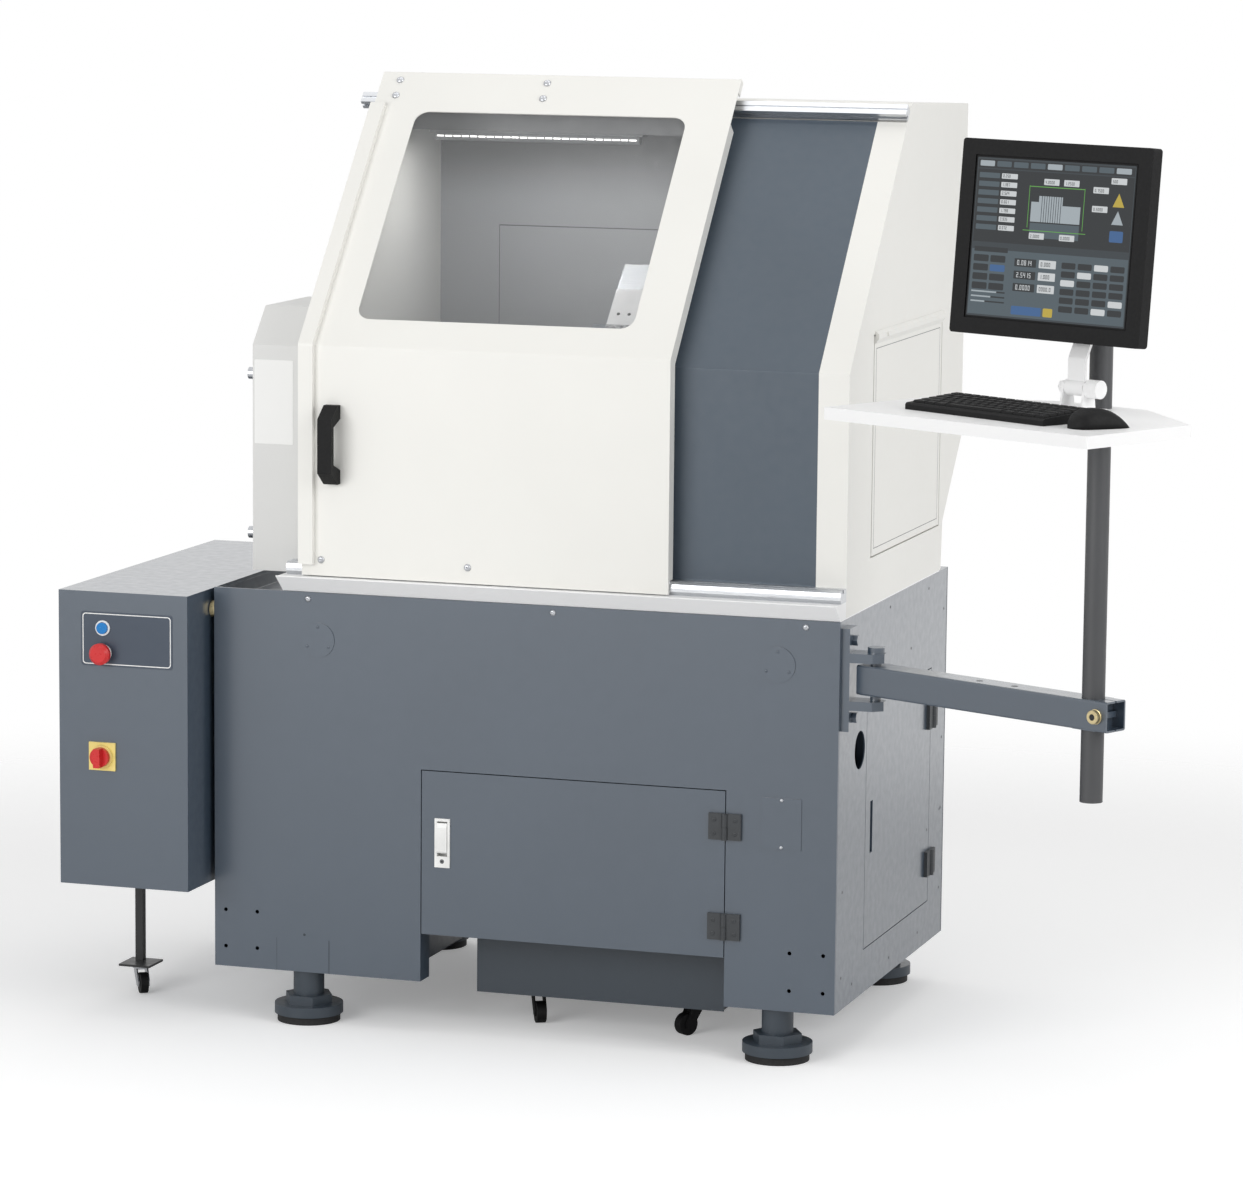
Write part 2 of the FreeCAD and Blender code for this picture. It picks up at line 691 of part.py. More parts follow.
def latch_body():
    """Latch bezel and case through the door: a tray that holds the paddle."""
    w = LATCH_W / 2
    h = LATCH_H / 2
    bezel = along_y(rect(LATCH_X - w, LATCH_X + w, LATCH_Z - h, LATCH_Z + h), -3.0, 0)
    case = box(LATCH_X - w + 3.3, LATCH_X + w - 3.3, 0, 16, LATCH_Z - h + 4.3, LATCH_Z + h - 4.3)
    pocket = box(LATCH_X - PADDLE_W / 2 - 0.6, LATCH_X + PADDLE_W / 2 + 0.6, -4, 13,
                 PADDLE_Z0 - 6, PADDLE_PIN_Z + 7)
    pin_hole = rod((LATCH_X - w, 0, PADDLE_PIN_Z), X_AXIS, LATCH_PIN_R + PIN_FIT, LATCH_W)
    return joined([bezel, case]).cut([pocket, pin_hole])


def latch_paddle():
    """Pull paddle, pinned at its top, with a thin lower finger edge."""
    w = PADDLE_W / 2
    profile = [(-3.0, PADDLE_Z0), (-5.0, PADDLE_Z0 + 3), (-5.0, PADDLE_PIN_Z - 4),
               (-3.5, PADDLE_PIN_Z + 4), (3.0, PADDLE_PIN_Z + 4), (3.0, PADDLE_PIN_Z - 4),
               (-0.5, PADDLE_PIN_Z - 10), (-0.5, PADDLE_Z0)]
    pin = rod((LATCH_X - w - 1.5, 0, PADDLE_PIN_Z), X_AXIS, LATCH_PIN_R, 2 * w + 3)
    return joined([along_x(slab(profile), LATCH_X - w, LATCH_X + w), pin])


def side_door():
    """Flush side door with folded edges and a recessed finger slot near its free edge."""
    y0 = SIDE_DOOR_Y0 + DOOR_GAP
    y1 = SIDE_DOOR_Y1 - DOOR_GAP
    z0 = SIDE_DOOR_Z0 + DOOR_GAP
    z1 = SIDE_DOOR_Z1 - DOOR_GAP
    depth = BASE_DOOR_FLANGE
    outer = box(BASE_W - depth, BASE_W, y0, y1, z0, z1)
    inner = box(BASE_W - depth - 1, BASE_W - SHEET, y0 + SHEET, y1 - SHEET, z0 + SHEET, z1 - SHEET)
    shell = outer.cut(inner)
    w = SIDE_SLOT_W / 2
    slot = box(BASE_W - 14, BASE_W + 1, SIDE_SLOT_Y - w, SIDE_SLOT_Y + w, SIDE_SLOT_Z0, SIDE_SLOT_Z1)
    cup = box(BASE_W - 16, BASE_W - SHEET, SIDE_SLOT_Y - w - 2, SIDE_SLOT_Y + w + 2, SIDE_SLOT_Z0 - 2,
              SIDE_SLOT_Z1 + 2)
    return joined([shell, cup]).cut(slot)


base_fixed, base_moving = base_hinge_parts()
side_fixed, side_moving = side_hinge_parts()
add("base_front_panel", group([base_front_panel(), blanking_covers()]))
add("base_left_panel", base_left_panel())
add("base_right_panel", base_right_panel())
add("base_rear_panel", base_rear_panel())
add("base_inner_panels", group([side_tray(), base_top_deck(), base_bulkheads()]))
add("levelling_feet", group([foot(x, y) for x in FOOT_X for y in FOOT_Y]))
add("foot_rubbers", group([foot_rubber(x, y) for x in FOOT_X for y in FOOT_Y]))
add("cover_knobs", cover_knobs())
add("base_door", base_door())
add("base_door_hinge_leaves", group(base_moving))
add("base_door_latch", latch_body())
add("latch_paddle", latch_paddle())
add("side_door", group([side_door()] + side_moving))

# ================================================================ hood
LEAN_RAD = math.radians(LEAN)


def leaned(s, n=0.0):
    """Point (y, z) on the leaning front: s up the lean from the bend, n out of it."""
    c = math.cos(LEAN_RAD)
    t = math.sin(LEAN_RAD)
    return (HOOD_Y + s * t - n * c, BEND_Z + s * c + n * t)


def leaned_placement(x=0.0):
    """Turns a face drawn in (x, s) into the leaning front plane; its normal points outwards."""
    turn = FreeCAD.Rotation(X_AXIS, 90 - LEAN)
    return FreeCAD.Placement(V(x, HOOD_Y, BEND_Z), turn)


def on_lean(face, n0, n1):
    """Extrude a face drawn in (x, s) between two heights above the leaning hood plane."""
    solid = face.translated(V(0, 0, n0)).extrude(V(0, 0, n1 - n0))
    solid.Placement = leaned_placement()
    return solid


ROOF_S = (ROOF_Z - BEND_Z) / math.cos(LEAN_RAD)


def side_outline(inset=0.0):
    """Hood side profile in (y, z)."""
    roof_y, roof_z = leaned(ROOF_S)
    points = [(HOOD_Y, HOOD_BOTTOM), (HOOD_Y, BEND_Z), (roof_y, roof_z), (ROOF_BACK_Y, ROOF_BACK_Z),
              (REAR_KNEE_Y, REAR_KNEE_Z), (REAR_FOOT_Y, REAR_FOOT_Z), (REAR_END_Y, HOOD_BOTTOM)]
    if inset == 0.0:
        return points
    loop = points + points[:1]
    moved = offset_points(loop, -inset)
    start = meeting(moved[-2], moved[-1], moved[0], moved[1])
    return [start] + moved[1:-1]


def meeting(a, b, c, d):
    """Point where the lines ab and cd cross."""
    denominator = (a[0] - b[0]) * (c[1] - d[1]) - (a[1] - b[1]) * (c[0] - d[0])
    ab = a[0] * b[1] - a[1] * b[0]
    cd = c[0] * d[1] - c[1] * d[0]
    return ((ab * (c[0] - d[0]) - (a[0] - b[0]) * cd) / denominator,
            (ab * (c[1] - d[1]) - (a[1] - b[1]) * cd) / denominator)


def front_return(x0, x1):
    """Front return of a hood side wall: upright part and leaning part."""
    path = [(HOOD_Y, LIP_Z + HOOD_T), (HOOD_Y, BEND_Z), leaned(TOP_RAIL_S0 - 2)]
    return along_x(band_face(path, -HOOD_T, 1.0), x0, x1)


def enclosure_left_wall():
    wall = along_x(slab(side_outline()), HOOD_X0, HOOD_X0 + HOOD_T)
    returned = front_return(HOOD_X0, HOOD_X0 + LEFT_RETURN_W)
    holes = [rod((HOOD_X0 - 1, SPINDLE_Y, SPINDLE_Z), X_AXIS, SPINDLE_R + 12, HOOD_T + 2),
             rod((HOOD_X0 - 1, MOTOR_Y, MOTOR_Z), X_AXIS, MOTOR_SHAFT_R + 10, HOOD_T + 2)]
    return joined([wall, returned]).cut(holes)


def enclosure_right_wall():
    wall = along_x(slab(side_outline()), BASE_W - HOOD_T, BASE_W)
    returned = front_return(BASE_W - POST_W, BASE_W)
    opening = box(BASE_W - 5, BASE_W + 1, ACCESS_Y0, ACCESS_Y1, ACCESS_Z0, ACCESS_Z1)
    frame_path = [(ACCESS_Y0, ACCESS_Z0), (ACCESS_Y1, ACCESS_Z0), (ACCESS_Y1, ACCESS_Z1),
                  (ACCESS_Y0, ACCESS_Z1)]
    frame = along_x(slab(frame_path), BASE_W - 14, BASE_W).cut(
        along_x(rect(ACCESS_Y0 + HOOD_T, ACCESS_Y1 - HOOD_T, ACCESS_Z0 + HOOD_T, ACCESS_Z1 - HOOD_T),
                BASE_W - 15, BASE_W + 1))
    return joined([wall, returned]).cut(opening).fuse(frame).removeSplitter()


def enclosure_roof():
    """One folded sheet: strip above the top rail, roof, rear, its knee and foot."""
    path = [leaned(TOP_RAIL_S0), leaned(ROOF_S), (ROOF_BACK_Y, ROOF_BACK_Z),
            (REAR_KNEE_Y, REAR_KNEE_Z), (REAR_FOOT_Y, REAR_FOOT_Z), (REAR_END_Y, HOOD_BOTTOM)]
    sheet = along_x(band_face(path, -HOOD_T, 1.5), HOOD_X0 + HOOD_T, BASE_W - HOOD_T)
    slots = [box(x0, x0 + ROOF_SLOT_W, REAR_KNEE_Y - 20, ROOF_BACK_Y + 5, ROOF_SLOT_Z0 + k * SLOT_STEP,
                 ROOF_SLOT_Z0 + k * SLOT_STEP + SLOT_H)
             for x0 in ROOF_SLOT_X for k in range(ROOF_SLOT_COUNT)]
    return sheet.cut(slots)


def enclosure_fixed_panel():
    path = [(HOOD_Y, LIP_Z + HOOD_T), (HOOD_Y, BEND_Z), leaned(TOP_RAIL_S0 - 2)]
    return along_x(band_face(path, -HOOD_T, 1.0), PANEL_X0, BASE_W - POST_W)


def splash_back():
    """Inner rear wall with a screwed access panel, and the apron that hides the work light."""
    x0 = HOOD_X0 + HOOD_T
    x1 = BASE_W - HOOD_T
    y = BACK_WALL_Y
    knee_rise = (REAR_KNEE_Z - REAR_FOOT_Z) / (REAR_KNEE_Y - REAR_FOOT_Y)
    low = REAR_FOOT_Z + (y + 2 * HOOD_T - REAR_FOOT_Y) * knee_rise + 2 * HOOD_T
    path = [(y, low), (y, ROOF_UNDER)]
    wall = along_x(band_face(path, HOOD_T, 1.0), x0, x1)
    top = GROOVE_Z1 + GROOVE_W
    groove = [box(GROOVE_X0, GROOVE_X1, y - 0.1, y + 1.0, GROOVE_Z1, top),
              box(GROOVE_X0, GROOVE_X0 + GROOVE_W, y - 0.1, y + 1.0, GROOVE_Z0, top)]
    apron = box(x0, x1, APRON_Y, APRON_Y + HOOD_T, APRON_Z, ROOF_UNDER)
    shelf = box(x0, x1, APRON_Y, y, ROOF_UNDER - HOOD_T, ROOF_UNDER)
    return joined([wall, apron, shelf]).cut(groove)


def work_light():
    """Light bar behind the apron: an extruded body on two stems, with a round lens."""
    y, z = LIGHT_Y, LIGHT_Z
    body = along_x(slab([(y - 14, z + 6), (y + 14, z + 6), (y + 10, z + 22), (y - 10, z + 22)]), LIGHT_X0,
                   LIGHT_X1)
    lens = rod((LIGHT_X0 + 8, y, z), X_AXIS, LIGHT_R, LIGHT_X1 - LIGHT_X0 - 16)
    stems = [box(x, x + LIGHT_STEM_W, y - 4, y + 4, z + 20, ROOF_UNDER - HOOD_T)
             for x in (LIGHT_X0 + LIGHT_STEM_IN, LIGHT_X1 - LIGHT_STEM_IN - LIGHT_STEM_W)]
    return joined([body, lens] + stems)


def side_access_cover():
    """Lift-off cover of the right wall: flush sheet, hemmed drip edge on top, turn latch."""
    gap = 2.5
    front = 9.0
    y0 = ACCESS_Y0 + front
    y1 = ACCESS_Y1 - gap - HOOD_T
    z0 = ACCESS_Z0 + gap + HOOD_T
    z1 = ACCESS_Z1 - gap - HOOD_T
    tray = along_x(rect(y0, y1, z0, z1), BASE_W - 14, BASE_W - 0.5)
    hollow = along_x(rect(y0 + HOOD_T, y1 - HOOD_T, z0 + HOOD_T, z1 - HOOD_T), BASE_W - 15,
                     BASE_W - 0.5 - HOOD_T)
    hem_path = [(BASE_W - 1.5, z1 - 16), (BASE_W + 7, z1 - 5), (BASE_W + 7, z1 + 3),
                (BASE_W + 0.5, z1 + 8), (BASE_W + 0.5, z1 - 1), (BASE_W - 1.5, z1 - 1)]
    hem = along_y(slab(hem_path), y0, y1)
    latch = box(BASE_W + 5, BASE_W + 10, 250, 270, z1 - 4, z1 + 2)
    return joined([tray.cut(hollow), hem, latch])


def chip_pan():
    """Folded pan under the work area: floor, sloped front gutter with a level lip, rear edge."""
    y_back = REAR_END_Y - 8
    floor = BASE_TOP
    sill = RAIL_Z1 + 3
    path = [(y_back, LIP_Z - 6), (y_back, floor), (2.0, floor), (-LIP_OUT, LIP_Z), (HOOD_Y, LIP_Z),
            (HOOD_Y, sill)]
    inner = HOOD_Y
    folded = along_x(band_face(path[:4], -HOOD_T, 1.0), PAN_X0, BASE_W)
    ledge = along_x(slab([(-LIP_OUT, LIP_Z), (-LIP_OUT + 3, LIP_Z - HOOD_T), (inner + 4, LIP_Z - HOOD_T),
                          (inner + 4, sill), (inner + 2, sill), (inner + 2, LIP_Z)]),
                    PAN_X0, BASE_W)
    ends = [along_x(slab([(2, BASE_TOP), (-LIP_OUT, LIP_Z), (inner + 2, LIP_Z), (inner + 2, BASE_TOP)]), x,
                    x + HOOD_T) for x in (PAN_X0, BASE_W - HOOD_T)]
    solid = joined([folded, ledge] + ends)
    left_of_wall = box(PAN_X0 - 1, HOOD_X0 + HOOD_T, HOOD_Y, BASE_D, HOOD_BOTTOM, BASE_TOP + 100)
    right_wall = box(BASE_W - HOOD_T, BASE_W + 1, HOOD_Y, BASE_D, HOOD_BOTTOM, BASE_TOP + 100)
    return solid.cut([chute_box(BASE_TOP - 1, floor + 5), left_of_wall, right_wall])


def door_rails():
    """Two extruded aluminium rails: rounded bottom guide and slotted top rail."""
    y0 = HOOD_Y - RAIL_OUT
    mid = (RAIL_Z0 + RAIL_Z1) / 2
    z0 = LIP_Z
    profile = [(y0 + 4, z0), (HOOD_Y, z0), (HOOD_Y, RAIL_Z1), (y0 + 8, RAIL_Z1), (y0 + 2, RAIL_Z1 - 4),
               (y0, mid + 3), (y0, mid - 3)]
    bottom = along_x(slab(profile), RAIL_X0, BASE_W)
    channel = box(RAIL_X0 - 1, BASE_W + 1, y0 + 12, y0 + 20, RAIL_Z1 - 6, RAIL_Z1 + 1)
    bottom = bottom.cut(channel)
    s0, s1 = TOP_RAIL_S0, TOP_RAIL_S1
    t = TOP_RAIL_T
    top = on_lean(rect(PAN_X0, BASE_W, s0, s1, 0), 0, t)
    middle = (s0 + s1) / 2
    slots = [on_lean(rect(PAN_X0 - 1, BASE_W + 1, middle - 1.5, middle + 1.5), t - 3, t + 1),
             on_lean(rect(PAN_X0 - 1, BASE_W + 1, s0 - 1, s0 + 6), 7, 13)]
    return group([bottom, top.cut(slots)])


# ================================================================ sliding door
def door_path(out, top_s):
    """Profile path (y, z) of a sheet parallel to the hood front, out in front of it."""
    bend_rise = out * math.tan(LEAN_RAD / 2)
    return [(HOOD_Y - out, SLIDE_BOTTOM), (HOOD_Y - out, BEND_Z + bend_rise), leaned(top_s, out)]


def sliding_door():
    """Folded door: face, top and side returns, window cut-out and welded stiffening strip."""
    path = door_path(SLIDE_OUT, SLIDE_TOP_S) + [leaned(SLIDE_TOP_S, SLIDE_OUT - 14)]
    face = along_x(band_face(path, -DOOR_T, 1.0), SLIDE_X0, SLIDE_X1)
    side_path = door_path(SLIDE_OUT, RETURN_END_S)
    side = band_face(side_path, -SLIDE_RETURN, 0.0)
    returns = [along_x(side, SLIDE_X0, SLIDE_X0 + DOOR_T), along_x(side, SLIDE_X1 - DOOR_T, SLIDE_X1)]
    ear = on_lean(slab([(SLIDE_X1 - DOOR_T, SLIDE_TOP_S - 30), (SLIDE_X1, SLIDE_TOP_S - 30),
                        (SLIDE_X1, SLIDE_TOP_S), (SLIDE_X1 - DOOR_T, SLIDE_TOP_S)]),
                  SLIDE_OUT - 14, SLIDE_OUT)
    strip_low = (HOOD_Y - SLIDE_OUT, STRIP_Z0)
    strip_path = [strip_low] + door_path(SLIDE_OUT, STRIP_END_S)[1:]
    strip = along_x(band_face(strip_path, STRIP_PROUD, 0.0), STRIP_X0, STRIP_X1)
    hollow = along_x(band_face(strip_path, STRIP_PROUD - DOOR_T, 0.0), STRIP_X0 + DOOR_T,
                     STRIP_X1 - DOOR_T)
    window = on_lean(rect(WINDOW_X0, WINDOW_X1, WINDOW_S0, WINDOW_S1, WINDOW_R), SLIDE_OUT - 20,
                     SLIDE_OUT + 20)
    over_rail = box(SLIDE_X0 - 1, SLIDE_X1 + 1, HOOD_Y - RAIL_OUT - 2, HOOD_Y, SLIDE_BOTTOM - 1,
                    RAIL_Z1 + 2)
    return joined([face, strip.cut(hollow), ear] + returns).cut([window, over_rail])


def door_window():
    """Window glass clamped behind the door sheet."""
    lap = WINDOW_LAP
    face = rect(WINDOW_X0 - lap, WINDOW_X1 + lap, WINDOW_S0 - lap, WINDOW_S1 + lap, WINDOW_R)
    top = SLIDE_OUT - DOOR_T
    return on_lean(face, top - WINDOW_T, top)


def door_handle():
    """Moulded bridge handle: angled legs and a flat grip."""
    y0 = HOOD_Y - SLIDE_OUT
    y1 = y0 - HANDLE_OUT
    outer = [(y0, HANDLE_Z0), (y0 - 14, HANDLE_Z0), (y1, HANDLE_Z0 + 22), (y1, HANDLE_Z1 - 22),
             (y0 - 14, HANDLE_Z1), (y0, HANDLE_Z1), (y0, HANDLE_Z1 - 24),
             (y1 + HANDLE_BAR, HANDLE_Z1 - 36), (y1 + HANDLE_BAR, HANDLE_Z0 + 36), (y0, HANDLE_Z0 + 24)]
    return along_x(slab(outer), HANDLE_X0, HANDLE_X1)


def door_carriages():
    """Hook-shaped hangers on the top rail and guide blocks over the bottom rail."""
    solids = []
    under = SLIDE_OUT - DOOR_T
    for x in CARRIAGE_X:
        x0 = x - CARRIAGE_HALF_W
        x1 = x + CARRIAGE_HALF_W
        plate = on_lean(rect(x0, x1, TOP_RAIL_S0 - 14, TOP_RAIL_S1 + 16), TOP_RAIL_T + 1.0, under)
        hook = on_lean(rect(x0, x1, TOP_RAIL_S1 + 1.0, TOP_RAIL_S1 + 16), 2.0, TOP_RAIL_T + 1.0)
        solids.append(joined([plate, hook]))
        y0 = HOOD_Y - SLIDE_OUT + DOOR_T
        guide = along_x(slab([(y0, RAIL_Z1 + 1), (HOOD_Y - 9, RAIL_Z1 + 1), (HOOD_Y - 9, RAIL_Z1 + 15),
                              (y0, RAIL_Z1 + 22)]), x0, x1)
        tongue_y = HOOD_Y - RAIL_OUT + 16
        tongue = box(x0 + 4, x1 - 4, tongue_y - 2.5, tongue_y + 2.5, RAIL_Z1 - 4, RAIL_Z1 + 2)
        solids.append(joined([guide, tongue]))
    return group(solids)


# ================================================================ belt drive cover
def cover_outline():
    return [(HOOD_Y, COVER_BOTTOM), (HOOD_Y, COVER_BEND_Z), (COVER_TOP_Y, COVER_TOP_Z),
            (COVER_BACK_Y, COVER_TOP_Z), (COVER_BACK_Y, COVER_BOTTOM)]


def drive_cover():
    """Deep folded cover over the belt drive, open towards the hood wall."""
    outer = along_x(slab(cover_outline()), COVER_X0, HOOD_X0)
    loop = cover_outline()
    moved = offset_points(loop + loop[:1], -COVER_SHEET)
    start = meeting(moved[-2], moved[-1], moved[0], moved[1])
    inner = along_x(slab([start] + moved[1:-1]), COVER_X0 + COVER_SHEET, HOOD_X0 + 1)
    vents = [box(COVER_X0 + 30, COVER_X0 + 80, COVER_BACK_Y - 5, COVER_BACK_Y + 1, z, z + 5)
             for z in range(840, 920, 14)]
    bar_hole = rod((COVER_X0 - 1, SPINDLE_Y, SPINDLE_Z), X_AXIS, BAR_HOLE_R, COVER_SHEET + 2)
    return outer.cut([inner, bar_hole] + vents)


add("enclosure_left_wall", enclosure_left_wall())
add("enclosure_right_wall", enclosure_right_wall())
add("enclosure_roof", enclosure_roof())
add("enclosure_fixed_panel", enclosure_fixed_panel())
add("splash_back", splash_back())
add("work_light", work_light())
add("side_access_cover", side_access_cover())
add("chip_pan", chip_pan())
add("door_rails", door_rails())
add("sliding_door", sliding_door())
add("door_window", door_window())
add("door_handle", door_handle())
add("door_carriages", door_carriages())
add("drive_cover", drive_cover())

# ================================================================ lathe inside the hood
SLOPE_C = math.cos(math.radians(SLOPE))
SLOPE_S = math.sin(math.radians(SLOPE))


def sloped(s, n):
    """Point (y, z) on the slant bed: s up the slope, n square to it, from the spindle axis."""
    return (SPINDLE_Y + s * SLOPE_C - n * SLOPE_S, SPINDLE_Z + s * SLOPE_S + n * SLOPE_C)


def slope_height(y, n):
    """Height z where the plane at n meets the given y."""
    s = (y - SPINDLE_Y + n * SLOPE_S) / SLOPE_C
    return SPINDLE_Z + s * SLOPE_S + n * SLOPE_C


def sloped_prism(points, x0, x1):
    return along_x(slab([sloped(s, n) for s, n in points]), x0, x1)


def sloped_bar(x0, x1, s0, s1, n0, n1):
    return sloped_prism([(s0, n0), (s1, n0), (s1, n1), (s0, n1)], x0, x1)


def lathe_bed():
    """Hollow slant-bed casting with two ways, cross ribs, chip slope and levelling pads."""
    floor = HOOD_BOTTOM
    low = sloped(BED_S0, BED_N)
    high = sloped(BED_S1, BED_N)
    outline = [low, high, (high[0] + 12, high[1] - 12), (high[0] + 12, floor), (low[0], floor)]
    outer = along_x(slab(outline), BED_X0, BED_X1)
    w = BED_WALL
    y0 = low[0] + w
    y1 = high[0] + 12 - w
    under = BED_N - w * 1.4
    inner = [(y0, slope_height(y0, under)), (y1, slope_height(y1, under)), (y1, floor - 1),
             (y0, floor - 1)]
    span = (BED_X1 - BED_X0 - 4 * w) / 3
    pockets = [along_x(slab(inner), BED_X0 + w + k * (span + w), BED_X0 + w + k * (span + w) + span)
               for k in range(3)]
    ways = [sloped_bar(HEAD_X1 + 2, BED_X1, s - WAY_W / 2, s + WAY_W / 2, BED_N, BED_N + WAY_H)
            for s in WAY_S]
    bearing = sloped_bar(BED_X1 - 34, BED_X1 - 4, Z_SCREW_S - 26, Z_SCREW_S + 26, BED_N,
                         SCREW_N + 14)
    hole_y, hole_z = sloped(Z_SCREW_S, SCREW_N)
    bore = rod((BED_X1 - 40, hole_y, hole_z), X_AXIS, SCREW_R + 1, 80)
    end_block = sloped_bar(HEAD_X1 + 2, HEAD_X1 + 26, Z_SCREW_S - 26, Z_SCREW_S + 26, BED_N,
                           SCREW_N + 14)
    end_bore = rod((HEAD_X1, hole_y, hole_z), X_AXIS, SCREW_R + 1, 60)
    cast = outer.cut(pockets)
    return joined([cast] + ways + [bearing.cut(bore), end_block.cut(end_bore)])


def headstock():
    """Headstock casting on the slant: foot and chamfered housing, bored for the spindle."""
    foot_top = BED_N + HEAD_FOOT_N
    foot_block = sloped_bar(HEAD_X0 + 6, HEAD_X1, HEAD_FOOT_S[0], HEAD_FOOT_S[1], BED_N, foot_top)
    a, b, c = HEAD_HALF, HEAD_SHOULDER, HEAD_FLAT
    body = sloped_prism([(-a, foot_top), (a, foot_top), (b, c), (c, b), (-c, b), (-b, c)], HEAD_X0, HEAD_X1)
    bore = rod((HEAD_X0 - 1, SPINDLE_Y, SPINDLE_Z), X_AXIS, SPINDLE_R + SPINDLE_FIT,
               HEAD_X1 - HEAD_X0 + 2)
    return joined([foot_block, body]).cut(bore)


def spindle():
    """Hollow spindle: pulley seat at the rear, plain journals, flanged nose."""
    bore = SPINDLE_BORE_R
    r = SPINDLE_R
    x0 = SPINDLE_X0
    profile = [(bore, 0), (r - 8, 0), (r - 8, HEAD_X0 - x0 - 2), (r, HEAD_X0 - x0 - 2),
               (r, HEAD_X1 - x0 + 1), (r + 14, HEAD_X1 - x0 + 1), (r + 14, CHUCK_X0 - x0),
               (bore, CHUCK_X0 - x0)]
    return spun(profile, (x0, SPINDLE_Y, SPINDLE_Z), X_AXIS)


def chuck():
    """Three-jaw chuck with stepped jaws in radial slots."""
    r = CHUCK_R
    face = CHUCK_L
    body = tube((CHUCK_X0, SPINDLE_Y, SPINDLE_Z), X_AXIS, r, SPINDLE_BORE_R + 2, face)
    jaws = []
    slots = []
    for k in range(JAW_COUNT):
        turn = FreeCAD.Rotation(X_AXIS, 360.0 / JAW_COUNT * k)
        at = (CHUCK_X0, SPINDLE_Y, SPINDLE_Z)
        slots.append(placed(box(face - 14, face + 1, -9, 9, SPINDLE_BORE_R, r + 2), at, turn))
        step = along_y(slab([(face - 14, 24), (face + 30, 24), (face + 30, 38), (face + 18, 38),
                             (face + 18, 54), (face + 8, 54), (face + 8, r - 6), (face - 14, r - 6)]),
                       -8.8, 8.8)
        jaws.append(placed(step, at, turn))
    return group([body.cut(slots)] + jaws)


def pulley(radius, bore, y, z):
    """Flat belt pulley bored for its shaft."""
    return tube((PULLEY_X0, y, z), X_AXIS, radius, bore, PULLEY_W)


def drive_belt():
    """Flat ribbed belt round both pulleys, as one closed loop."""
    dy = MOTOR_Y - SPINDLE_Y
    dz = MOTOR_Z - SPINDLE_Z
    distance = math.hypot(dy, dz)
    r1 = SPINDLE_PULLEY_R + BELT_CLEAR
    r2 = MOTOR_PULLEY_R + BELT_CLEAR
    along = (dy / distance, dz / distance)
    lean = math.acos((r1 - r2) / distance)

    def loop(a, b):
        def at(cy, cz, radius, angle):
            c, s = math.cos(angle), math.sin(angle)
            return V(cy + radius * (along[0] * c - along[1] * s),
                     cz + radius * (along[1] * c + along[0] * s), 0)
        p1 = at(SPINDLE_Y, SPINDLE_Z, a, lean)
        p2 = at(SPINDLE_Y, SPINDLE_Z, a, math.pi)
        p3 = at(SPINDLE_Y, SPINDLE_Z, a, -lean)
        q1 = at(MOTOR_Y, MOTOR_Z, b, -lean)
        q2 = at(MOTOR_Y, MOTOR_Z, b, 0.0)
        q3 = at(MOTOR_Y, MOTOR_Z, b, lean)
        edges = [Part.Arc(p1, p2, p3).toShape(), Part.LineSegment(p3, q1).toShape(),
                 Part.Arc(q1, q2, q3).toShape(), Part.LineSegment(q3, p1).toShape()]
        return Part.Face(Part.Wire(edges))
    x0 = PULLEY_X0 + 4
    x1 = PULLEY_X0 + PULLEY_W - 4
    outside = along_x(loop(r1 + BELT_T, r2 + BELT_T), x0, x1)
    return outside.cut(along_x(loop(r1, r2), x0 - 1, x1 + 1))


def spindle_motor():
    """Square-frame motor with chamfered edges, terminal box and a flange on the hood wall."""
    x0 = MOTOR_X0
    r = MOTOR_R - 6
    c = r * math.tan(math.radians(22.5))
    outline = [(-c, -r), (c, -r), (r, -c), (r, c), (c, r), (-c, r), (-r, c), (-r, -c)]
    core = along_x(slab([(MOTOR_Y + a, MOTOR_Z + b) for a, b in outline]), x0, x0 + MOTOR_L)
    terminal = box(x0 + 60, x0 + 130, MOTOR_Y - 34, MOTOR_Y + 34, MOTOR_Z - MOTOR_R - 18,
                   MOTOR_Z - MOTOR_R + 14)
    flange = box(HOOD_X0 + HOOD_T, x0 + 2, MOTOR_Y - 64, MOTOR_Y + 64, MOTOR_Z - 64, MOTOR_Z + 64)
    hole = rod((HOOD_X0, MOTOR_Y, MOTOR_Z), X_AXIS, MOTOR_SHAFT_R + 0.5, x0 - HOOD_X0)
    return joined([core, terminal, flange]).cut(hole)


def motor_pulley():
    """Motor pulley with its shaft end."""
    wheel = rod((PULLEY_X0, MOTOR_Y, MOTOR_Z), X_AXIS, MOTOR_PULLEY_R, PULLEY_W)
    shaft = rod((PULLEY_X0, MOTOR_Y, MOTOR_Z), X_AXIS, MOTOR_SHAFT_R, MOTOR_X0 - 4 - PULLEY_X0)
    return joined([wheel, shaft])


